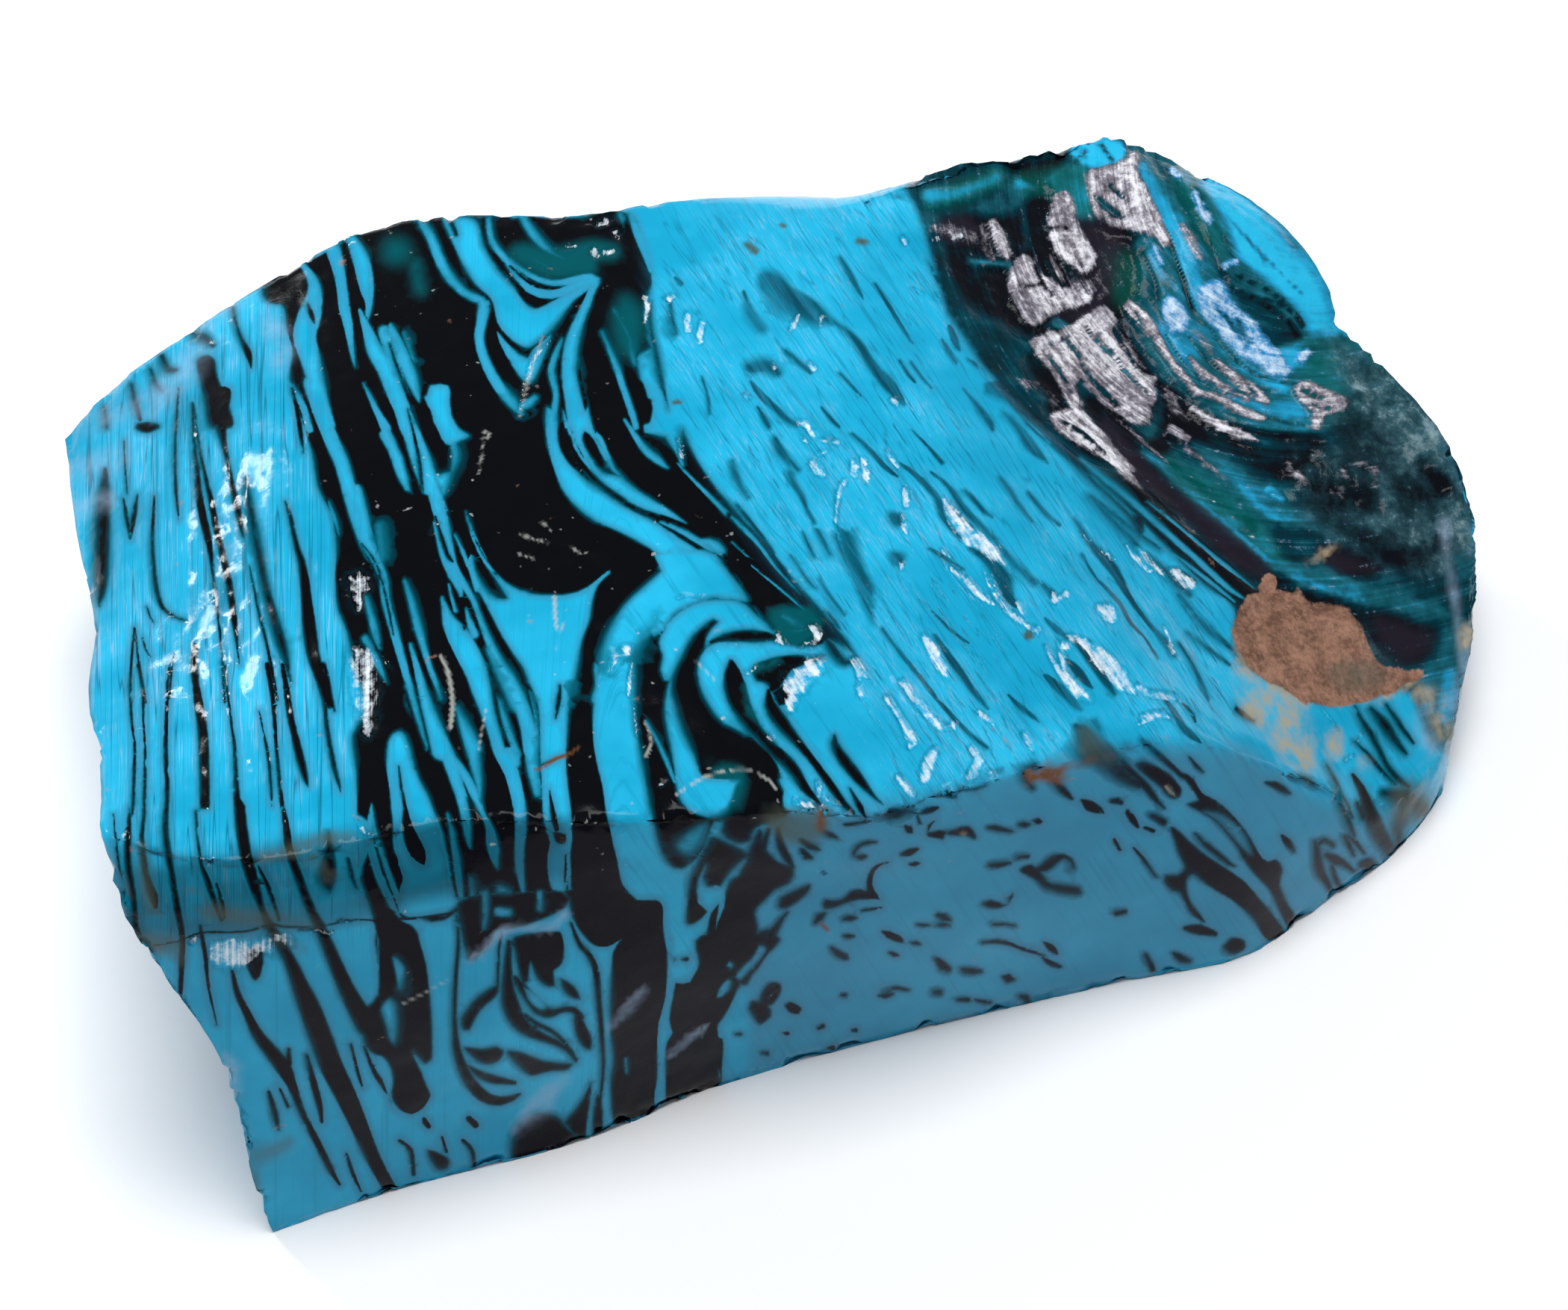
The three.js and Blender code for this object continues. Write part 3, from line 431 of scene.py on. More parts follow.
    ("d2", """
dark 2 748,-20,30 770,10,26 800,50,14 820,150,18 832,230,18 839,320,14 839,400,12 830,470,14 815,540,18
  800,600,24 806,660,28 820,720,20 833,765,6
dark_patch 1.5 900,-20 1086,-20 1086,60 1080,150 1060,230 1040,300 1040,380 1045,450 1030,560 1030,662
  950,692 880,717 870,690 862,600 872,480 876,430 872,350 868,250 870,150 875,80 895,30
dark_patch 1.5 1218,-20 1510,-20 1464,60 1432,110 1382,150 1352,200 1330,250 1300,300 1270,340 1248,382
  1300,380 1296,500 1292,552 1240,592 1180,612 1130,627 1080,622 1070,580 1075,500 1080,430 1095,370
  1110,300 1150,220 1180,150 1210,90
light_patch 1.5 1440,15 1420,60 1385,92 1348,140 1368,152 1402,122 1442,82 1474,28
light_patch 1.5 1315,98 1326,80 1342,88 1336,108
light_patch 1.5 1278,222 1290,180 1320,148 1336,156 1326,190 1300,216
dark 1.5 1092,70,8 1106,72,20
dark 1.5 1145,70,8 1160,70,18
dark_patch 3 400,915 410,850 440,780 500,712 580,672 640,640 690,650 740,612 785,552 778,622 768,702 762,785
dark 3 292,778,8 326,800,20 344,850,10 346,905,6
"""),
    ("d3", """
dark_patch 1.5 118,202 150,164 187,170 187,202 160,242 140,252 152,290 110,322 88,292 68,262 78,236 110,236
dark_patch 1.5 208,246 230,237 272,262 262,282 224,276
dark 2 798,68,10 820,96,32 848,108,8
dark 2 898,110,6 930,117,20 970,118,6
dark 2 1058,140,10 1078,145,32 1098,148,8
dark 2 1208,64,4 1246,88,18 1278,100,8
dark 2 1223,8,6 1246,26,22 1268,48,5
dark 2 573,213,6 600,213,16 628,204,4
dark 2 588,192,3 640,182,10 692,193,3
dark 2.5 878,228,6 918,228,16
dark 2.5 948,228,3 980,236,9 1008,240,3
dark 2 1122,214,6 1145,222,22 1158,238,5
dark 1.5 470,347,8 482,347,14
dark 2 376,415,8 394,415,18
dark 2 202,360,8 218,360,14
dark 2.5 336,340,8 354,330,16
dark 2.5 18,362,6 34,362,10
dark 3 122,435,6 136,437,14
dark 3 428,210,6 442,210,12
dark 3 790,200,8 808,200,16
"""),
    ("whole", """
dark_patch 2 535,405 606,405 606,500 575,502 560,490 546,450
dark_patch 2 498,662 570,662 606,690 622,700 640,728 655,757 668,774 655,778 640,770 634,778 640,800 655,835
  672,860 700,900 712,940 715,985 690,1000 560,1000 548,960 532,910 517,860 507,820 503,780 490,745 482,728
  495,735
light 2 478,655,14 486,700,20 492,725,19 504,750,14 514,775,12 516,800,12 529,850,12 543,900,10 557,950,8
  567,985,5 572,1000,2
light 9 508,705,10 512,745,10
dark 1.5 484,728,2 500,748,3 511,775,3 520,815,3 527,850,2
light 3 542,778,5 551,805,9 560,840,11 568,868,9 576,895,8 584,915,7 590,935,3
light 2 549,862,4 556,885,8 564,915,12 572,945,16 582,975,22 592,1005,28
light 4 612,948,4 622,972,14 634,1002,22
light 2 578,655,13 590,690,18 598,715,13 605,740,8 611,762,8 620,780,10 633,802,8 643,825,9 652,850,11
  664,875,13 677,900,16 690,925,19 700,950,20 707,975,20 711,1005,20
light 2 582,700,5 588,722,8 594,745,10 606,765,16 614,783,12 618,800,4
dark 2 583,692,3 592,722,6 600,745,6 606,752,3
light 6 655,870,8 672,905,12 690,945,14
light 2 609,716,3 620,738,5 627,758,5
light_patch 2 631,742 640,752 655,762 672,778 692,789 712,796 720,830 715,905 706,915 690,885 672,860
  656,838 646,815 637,795 631,775 626,755
light 1.5 624,690,2 635,725,3 648,750,4 660,766,6
dark_patch 5 634,745 642,748 652,760 666,779 676,795 680,801 668,802 656,795 645,780 637,764
dark 3 640,797,7 650,820,11 664,850,13 680,878,15 697,903,14 707,930,5
light 2 592,800,4 596,815,10 603,835,20 614,852,30 629,880,32 638,900,30 645,925,26 652,950,20 660,975,17
  669,1005,16
light 1.5 601,782,3 605,800,4 610,818,6
dark 2 618,805,12 621,822,10 622,842,4
light 1.5 624,815,3 629,832,8 636,850,10
light 3 668,935,3 675,960,8 685,990,9 694,1010,8
light 4 490,800,6 500,835,9 507,860,5
light 3 489,855,9 500,875,8 510,895,4
dark_patch 2 560,294 700,292 800,292 835,300 838,345 812,380 800,400 788,430 780,470 782,500 788,545 775,550
  748,550 728,545 715,558 692,560 672,545 650,520 632,480 630,430 612,410 590,385 572,350 560,320
light 3 563,294,10 578,320,13 590,350,14 605,375,13 625,394,11 645,403,12 648,415,16 645,430,14 642,450,13
  645,470,13 655,495,14 670,520,15 688,541,14 698,553,7
light 2 694,546,8 708,540,12 716,533,9
light_patch 3 592,290 606,325 620,355 636,380 656,398 662,412 666,432 676,446 690,459 706,466 718,460
  735,446 750,428 764,408 778,395 792,386 802,384 804,377 795,375 780,382 760,392 742,402 725,411 713,413
  700,402 688,384 675,370 662,354 648,328 641,300 630,291 610,290
dark 3 604,296,6 611,314,5
light 2.5 654,292,7 659,323,9 679,349,10 694,370,11 712,387,13 731,394,12 750,392,11 774,381,12 796,375,14
light 4 680,345,4 700,362,7 722,374,8 746,379,9 770,374,10 790,371,12 800,376,10
dark 1.5 683,356,3 703,374,4 720,384,4 735,387,2
light 3 698,288,9 712,310,12 727,328,11 742,340,7 756,346,4
light 2 705,342,1 720,350,3 735,358,2
light 2 797,384,14 788,402,12 779,422,13 770,445,17 764,470,20 762,500,20 766,525,22 771,552,25
light 2 752,455,4 744,475,8 738,495,9 742,515,9 745,530,8 741,556,10
light_patch 2 666,444 678,458 694,473 707,479 713,468 722,461 738,447 735,462 727,482 720,500 712,512
  702,511 690,496 678,476 669,458
dark_patch 3 800,385 835,350 858,372 862,395 860,420 866,450 872,466 856,474 850,490 856,506 866,520 874,545
  868,568 850,560 840,560 800,560 792,530 784,500 782,470 788,430
light 3 806,445,3 815,465,6 825,490,9 835,520,9 846,552,9 852,572,8
light 4 822,415,3 832,430,4 842,450,8 846,470,8 850,488,4
light 4 862,480,10 866,505,12 872,530,10
dark_patch 4 848,350 832,320 838,290 850,292 862,325 870,350 872,385 858,385
light 3 846,288,10 855,315,12 866,340,12 872,362,7
dark_patch 2 800,785 850,752 900,742 960,742 985,765 1003,800 1040,848 1100,850 1102,880 1090,900 1050,905
  1045,960 1100,1030 1152,1092 1100,1080 1060,1085 1000,1098 960,1100 905,1090 880,1062 862,1010 850,960
  849,900 830,900 800,890 790,860
light_patch 4 880,738 950,738 975,765 995,790 1000,806 965,801 940,806 905,822 888,845 870,850 880,800
  885,765
light_patch 12 905,752 885,765 862,785 840,805 822,830 808,860 800,892 800,915 848,915 848,900 853,880
  862,860 875,846 890,832 905,818 925,805
light 3 832,890,38 824,930,54 824,970,56 829,1010,58 836,1050,58 842,1090,60
light_patch 3 905,822 940,804 985,803 1002,812 1015,825 1035,841 1041,850 1020,845 1000,843 975,847 955,855
  944,863 950,845 962,832 955,829 940,840 925,855 915,875 905,895 897,912 890,911 884,895 888,880 882,862
  888,845
light_patch 5 955,861 985,859 1010,860 1040,858 1060,862 1100,868 1100,880 1075,884 1060,880 1040,884
  1022,888 1012,898 1012,915 1024,920 1030,940 1042,965 1060,990 1085,1022 1115,1060 1135,1092 1112,1092
  1094,1072 1080,1045 1062,1020 1040,990 1024,970 1012,945 1000,915 995,898 990,880 983,880 972,892 970,912
  975,935 983,955 993,970 1003,985 985,976 968,968 955,953 944,935 936,915 934,893 940,875
light 3 1048,1045,10 1062,1068,16 1070,1090,18
dark 2 955,862,3 975,853,6 1000,849,9 1025,850,9 1043,855,4
dark_patch 3 966,742 1010,748 1035,765 1060,785 1080,800 1100,820 1120,840 1131,858 1136,876 1130,884
  1115,866 1100,846 1070,842 1040,847 1028,835 1010,815 1003,798 985,765
light 10 1070,835,16 1050,825,14
light 1 1005,756,2 1040,785,3 1078,817,2
light_patch 3 900,905 893,925 890,950 893,975 898,1000 903,1030 907,1060 915,1078 932,1090 955,1096 972,1090
  982,1072 988,1055 993,1042 960,1042 940,1038 932,1015 922,995 912,972 905,948 899,925
light 1.5 865,965,3 880,992,5 893,1020,6 904,1048,4
light_patch 2 140,1100 470,1088 482,1180 497,1228 500,1236 508,1345 482,1347 486,1385 503,1414 524,1480
  562,1592 350,1640 325,1560 305,1430 262,1360 205,1300 200,1262 160,1200
dark 2 172,1085,5 172,1110,8 171,1150,9 178,1200,10 183,1240,7 192,1262,4
dark 2 194,1085,4 190,1120,6 192,1150,9 198,1180,10 205,1200,14 208,1214,8
dark 1.5 152,1090,2 158,1150,3 168,1210,3
dark 2 222,1085,7 222,1120,9 230,1170,9 238,1220,10 244,1252,8 243,1300,7 241,1342,5
dark 2 262,1085,3 268,1150,5 278,1180,9 290,1215,8 297,1233,4
dark 1.5 290,1183,4 298,1212,7 301,1232,3
dark 2 321,1080,15 323,1105,16 330,1150,17 342,1190,15 350,1215,9 360,1237,12 378,1268,14 390,1290,16
  402,1320,22 415,1350,28 430,1390,30 445,1430,30 460,1460,28 478,1500,24 495,1540,20 510,1570,18
  527,1600,16
dark 1.5 345,1158,3 360,1190,7 374,1232,4
dark 2 380,1085,6 383,1105,9 388,1140,12 400,1175,13 415,1215,13 430,1245,14 445,1280,17 460,1315,20
  475,1345,24 492,1372,30
dark_patch 5 440,1113 448,1140 451,1170 442,1196 424,1176 431,1150
dark 3 466,1150,6 472,1175,7 478,1190,3
dark 2 268,1240,5 275,1280,6 278,1312,4 285,1350,3 290,1372,2
dark 2 311,1300,4 318,1330,8 330,1355,10 345,1385,14 365,1410,18 380,1430,20 392,1455,12 405,1490,8
  420,1520,9 435,1550,9 445,1570,7 455,1586,3
dark 1.5 387,1405,4 386,1424,10
dark_patch 2 330,1276 351,1270 351,1298 343,1313 333,1300
dark 2 360,1462,4 368,1490,8 373,1512,3
dark 1.5 375,1458,3 386,1482,4
dark 2 411,1413,4 420,1450,9 428,1480,8 431,1502,4
dark 1.5 470,1398,3 479,1435,4 486,1457,2
dark 2 488,1402,3 502,1436,6 520,1462,7
dark 1.5 464,1545,3 474,1575,5 484,1596,2
dark 1 205,1266,2 240,1260,2 270,1249,3 330,1247,3 360,1238,4 385,1241,3 430,1240,2 470,1232,2 503,1232,2
light_patch 2 508,1242 552,1238 615,1226 617,1205 640,1200 700,1195 757,1195 765,1205 880,1200 905,1300
  900,1380 965,1440 900,1482 870,1492 820,1512 780,1532 700,1545 640,1576 562,1592 524,1480 500,1400
  508,1340
dark_patch 2 505,1226 552,1240 562,1262 570,1290 575,1330 578,1375 578,1418 570,1424 552,1408 562,1432
  573,1458 577,1466 566,1484 550,1492 534,1484 524,1466 527,1450 524,1430 514,1415 503,1412 490,1400
  484,1375 482,1345 492,1347 503,1338 508,1320 507,1260
light 7 528,1284,6 536,1298,14 536,1322,6
light_patch 3 512,1345 522,1336 530,1342 533,1362 532,1385 528,1398 521,1390 516,1370 510,1355
dark 2 612,1226,3 614,1260,4 611,1300,5 609,1340,5 609,1375,6 612,1405,10 620,1430,13 632,1452,15
  648,1468,15 665,1474,12 682,1472,8 696,1465,3
dark 1 500,1233,2 560,1229,3 612,1220,3 621,1208,2
dark_patch 2 618,1204 702,1195 757,1195 757,1215 700,1240 665,1245 660,1256 650,1270 640,1278 630,1286
  623,1270 618,1245
light 3 650,1196,8 650,1225,8 648,1243,4
light_patch 2 663,1215 685,1217 684,1227 663,1226
light 4 723,1196,8 723,1216,8
dark_patch 2 688,1255 740,1247 754,1254 753,1290 741,1299 743,1320 735,1321 720,1310 710,1288 707,1313
  700,1318 695,1300 690,1273
dark_patch 2 668,1318 655,1325 640,1335 627,1350 618,1365 620,1378 628,1380 635,1365 645,1350 660,1338
  668,1327
dark 1.5 672,1250,2 668,1272,3 667,1300,3 667,1322,3
dark 2 682,1262,7 680,1290,10 680,1320,16 684,1345,22 695,1368,20 712,1382,14 735,1392,9 758,1403,7
  772,1420,4
dark 2 690,1310,8 705,1330,13 722,1350,16 738,1357,10 752,1352,6 768,1352,8 778,1362,8
light_patch 2 702,1322 716,1328 730,1338 733,1350 722,1352 710,1342
dark 2 703,1360,6 720,1372,6 738,1380,5 755,1395,5 768,1412,4
dark_patch 2 769,1358 778,1361 785,1375 792,1390 791,1405 780,1400 772,1385
dark_patch 2 751,1311 762,1316 772,1325 777,1338 768,1336 757,1328
dark_patch 2 622,1403 645,1405 665,1402 674,1406 670,1418 655,1425 640,1420
dark_patch 2.5 680,1408 700,1410 725,1420 750,1424 766,1425 760,1432 735,1434 712,1440 700,1432 688,1420
dark 2 628,1428,3 645,1440,10 665,1446,10 690,1450,4
dark 2 765,1236,3 776,1264,6 790,1280,7 798,1300,8 802,1340,7 806,1390,6 808,1430,4 803,1480,3
dark_patch 2 762,1192 832,1192 852,1205 870,1205 885,1208 888,1220 888,1245 893,1275 893,1310 890,1340
  882,1370 880,1400 880,1440 876,1470 875,1488 850,1496 824,1504 818,1450 822,1420 818,1380 818,1340
  820,1290 823,1270 832,1258 812,1268 795,1265 780,1250 768,1230 762,1205
light 2 838,1418,4 839,1436,3
dark_patch 2 792,1450 783,1468 770,1487 757,1503 770,1518 782,1530 786,1500 790,1475
dark_patch 2 800,1465 795,1490 795,1520 806,1516 806,1480
dark_patch 5 690,1515 720,1492 745,1495 760,1510 780,1532 740,1550 690,1560
dark_patch 2 893,1398 905,1380 918,1368 930,1350 955,1360 962,1390 960,1410 963,1440 960,1470 940,1476
  905,1486 893,1480 892,1430
dark 2 568,1500,8 574,1508,7
dark 2 628,1498,8 637,1506,9
dark_patch 3 573,1540 590,1545 601,1552 600,1563 588,1566 578,1555
dark 2 620,1527,5 632,1540,5 636,1566,4
dark 1.5 592,1522,3 598,1542,4
dark 2 535,1527,4 550,1540,6 554,1572,5
light_patch 2 972,868 992,860 1010,862 1040,862 1075,868 1102,862 1112,858 1150,880 1185,935 1195,1000
  1190,1085 1140,1092 1100,1082 1052,1084 1049,1050 1036,1015 1010,988 988,962 971,935 966,900
dark_patch 4 1008,900 1014,889 1036,881 1060,877 1085,879 1100,881 1080,889 1060,897 1050,912 1040,925
  1032,922 1024,914 1014,912
dark 3 979,884,4 981,900,20 983,915,28 988,935,28 997,955,23 1010,975,18 1025,993,16 1042,1010,16
  1056,1022,17 1066,1035,15 1076,1052,13 1088,1066,8 1100,1078,3
dark 2.5 1029,924,4 1032,945,16 1041,960,19 1051,973,18 1063,988,14 1076,1003,11 1090,1020,9 1103,1038,10
  1113,1052,11 1122,1065,10 1132,1078,8 1144,1089,4
dark_patch 3 1046,918 1058,925 1052,942 1042,945 1036,930
dark 2.5 1118,984,3 1118,998,11 1128,1015,15 1140,1030,15 1152,1045,13 1163,1058,8 1172,1068,4 1183,1077,2
dark 2 1138,1055,2 1146,1070,6 1153,1083,8 1161,1095,3
dark 1.5 1042,1000,2 1056,1012,3 1066,1024,2
dark 4 1102,848,6 1112,864,11 1122,879,12 1132,887,8 1141,886,3
dark 2 1108,820,2 1118,832,5 1124,842,2
light_patch 2 900,300 1215,265 1235,330 1290,470 1320,520 1300,700 1030,700 985,650 945,590 925,540 905,470
dark_patch 7 1018,368 1035,366 1060,385 1085,402 1112,427 1100,432 1070,422 1045,412 1030,395 1020,382
dark 2 1030,369,4 1050,385,10 1075,399,10 1095,411,6 1112,427,3
dark 2 1113,429,4 1135,445,6 1152,462,9 1163,482,11 1176,500,13 1190,514,16 1202,528,12 1211,541,4
dark 3 996,390,3 1006,420,7 1022,441,5
dark 1.5 1172,380,2 1185,400,5 1200,425,6 1212,445,5 1222,460,3
dark 1.5 1125,345,2 1135,362,6 1145,380,6 1156,400,3
dark 1.5 1203,480,2 1215,500,4 1226,512,3
dark 1.5 1220,485,3 1232,502,4 1247,520,3
dark 2 1262,455,3 1270,470,7 1281,486,3
dark 2 1272,438,7 1280,458,9 1285,469,3
dark 2 1005,510,2 1013,521,8 1026,536,10 1041,549,8 1052,560,6 1067,569,3
dark 3 1015,545,3 1025,562,7 1030,572,4
dark 2 1038,588,6 1045,603,9 1056,616,7 1069,629,3
dark 2 980,618,4 985,635,8 992,650,5 1002,666,3
dark 2 1057,633,3 1065,650,6 1075,666,6 1080,681,5 1091,700,4
dark 1.5 1140,580,2 1155,592,4 1170,608,6 1186,626,7 1202,638,4
dark 1.5 1205,620,4 1226,636,5 1250,650,5 1276,661,4
dark 1.5 1220,575,2 1241,596,4 1260,618,5 1279,637,3
dark 5 1004,493,12 1025,490,14 1041,499,8
dark 2 1125,500,3 1140,516,4 1153,530,3
dark 2 1100,545,3 1112,560,5 1124,572,3
dark 1.5 1052,470,3 1070,485,5 1086,500,3
dark 1.5 1290,520,3 1312,548,5 1330,575,4
dark 2 905,372,5 912,380,7
dark 1.5 897,400,3 900,425,5 906,447,3
dark 1.5 940,505,2 948,530,4 950,555,3
light_patch 2 1180,700 1240,640 1330,585 1420,660 1500,720 1560,790 1640,850 1655,900 1640,985 1560,1000
  1500,965 1440,970 1400,1000 1300,1050 1200,1072 1190,1000 1168,880
dark 1.5 1182,842,3 1196,861,4 1211,881,5 1229,902,6 1246,925,6 1263,945,6 1281,965,6 1301,985,5 1322,1001,3
dark_patch 3 1190,742 1203,740 1212,745 1205,758 1197,755
dark_patch 3 1192,688 1206,690 1206,703 1196,700
dark 1.5 1216,626,5 1236,646,7 1254,664,8 1262,690,6 1273,706,5 1287,721,3
dark 2 1247,632,3 1271,652,6 1291,681,8 1311,701,6 1336,726,5 1356,751,6 1375,770,7 1386,781,4
dark 1 1269,678,3 1285,690,7 1301,706,4
dark 2 1300,735,3 1318,746,9 1335,762,16 1345,781,17 1352,801,13 1361,813,4
dark 1.5 1290,655,3 1305,670,6 1318,685,5 1328,692,3
dark 1.5 1340,640,2 1352,655,4 1362,671,5 1373,686,4 1383,699,2
dark 1.5 1378,660,4 1390,675,6 1401,688,5 1419,703,3
dark 1.5 1244,734,3 1258,742,5 1273,752,5 1291,763,3
dark 2 1252,850,3 1262,865,7 1275,885,10 1290,905,9 1304,925,8 1316,940,5 1323,949,3
dark 2 1248,818,2 1275,845,4 1297,861,3
dark 1.5 1350,930,3 1365,945,6 1379,956,6 1391,966,3
dark 1.5 1400,828,3 1412,840,9 1422,848,7 1431,856,3
dark 1.5 1397,783,3 1409,794,6
dark 2 1399,903,5 1414,917,12 1428,930,11 1441,944,8 1447,950,3
dark 1.5 1438,692,3 1450,712,6 1461,728,7 1477,747,12 1492,763,14 1502,781,10 1512,799,7 1527,820,6
  1542,839,6 1561,860,7 1573,879,3
dark 1.5 1449,742,3 1465,770,4 1483,789,5 1500,808,5 1515,835,5 1528,848,4
dark 1 1531,851,3 1541,866,4 1551,882,2
dark 1.5 1536,741,3 1550,756,5 1565,770,4
dark 1.5 1575,763,3 1590,771,5 1602,780,3
dark 2 1600,823,3 1625,848,7 1652,870,5
dark 1.5 1591,847,3 1620,870,5 1647,890,3
dark 1.5 1579,861,3 1597,890,4 1610,918,6 1619,938,3
dark 2 1428,882,3 1438,893,12 1450,907,12 1462,921,4
dark 2 1438,857,3 1450,870,9 1464,887,12 1480,911,10 1493,929,3
dark 2 1441,972,6 1465,990,15 1485,1010,18 1498,1030,8
dark 2 1561,938,5 1574,955,8 1585,974,10 1600,988,9 1608,994,3
dark 1.5 1584,942,3 1597,955,6 1601,967,3
dark 1.5 1530,992,3 1555,1012,5 1580,1035,4 1593,1046,3
"""),
)
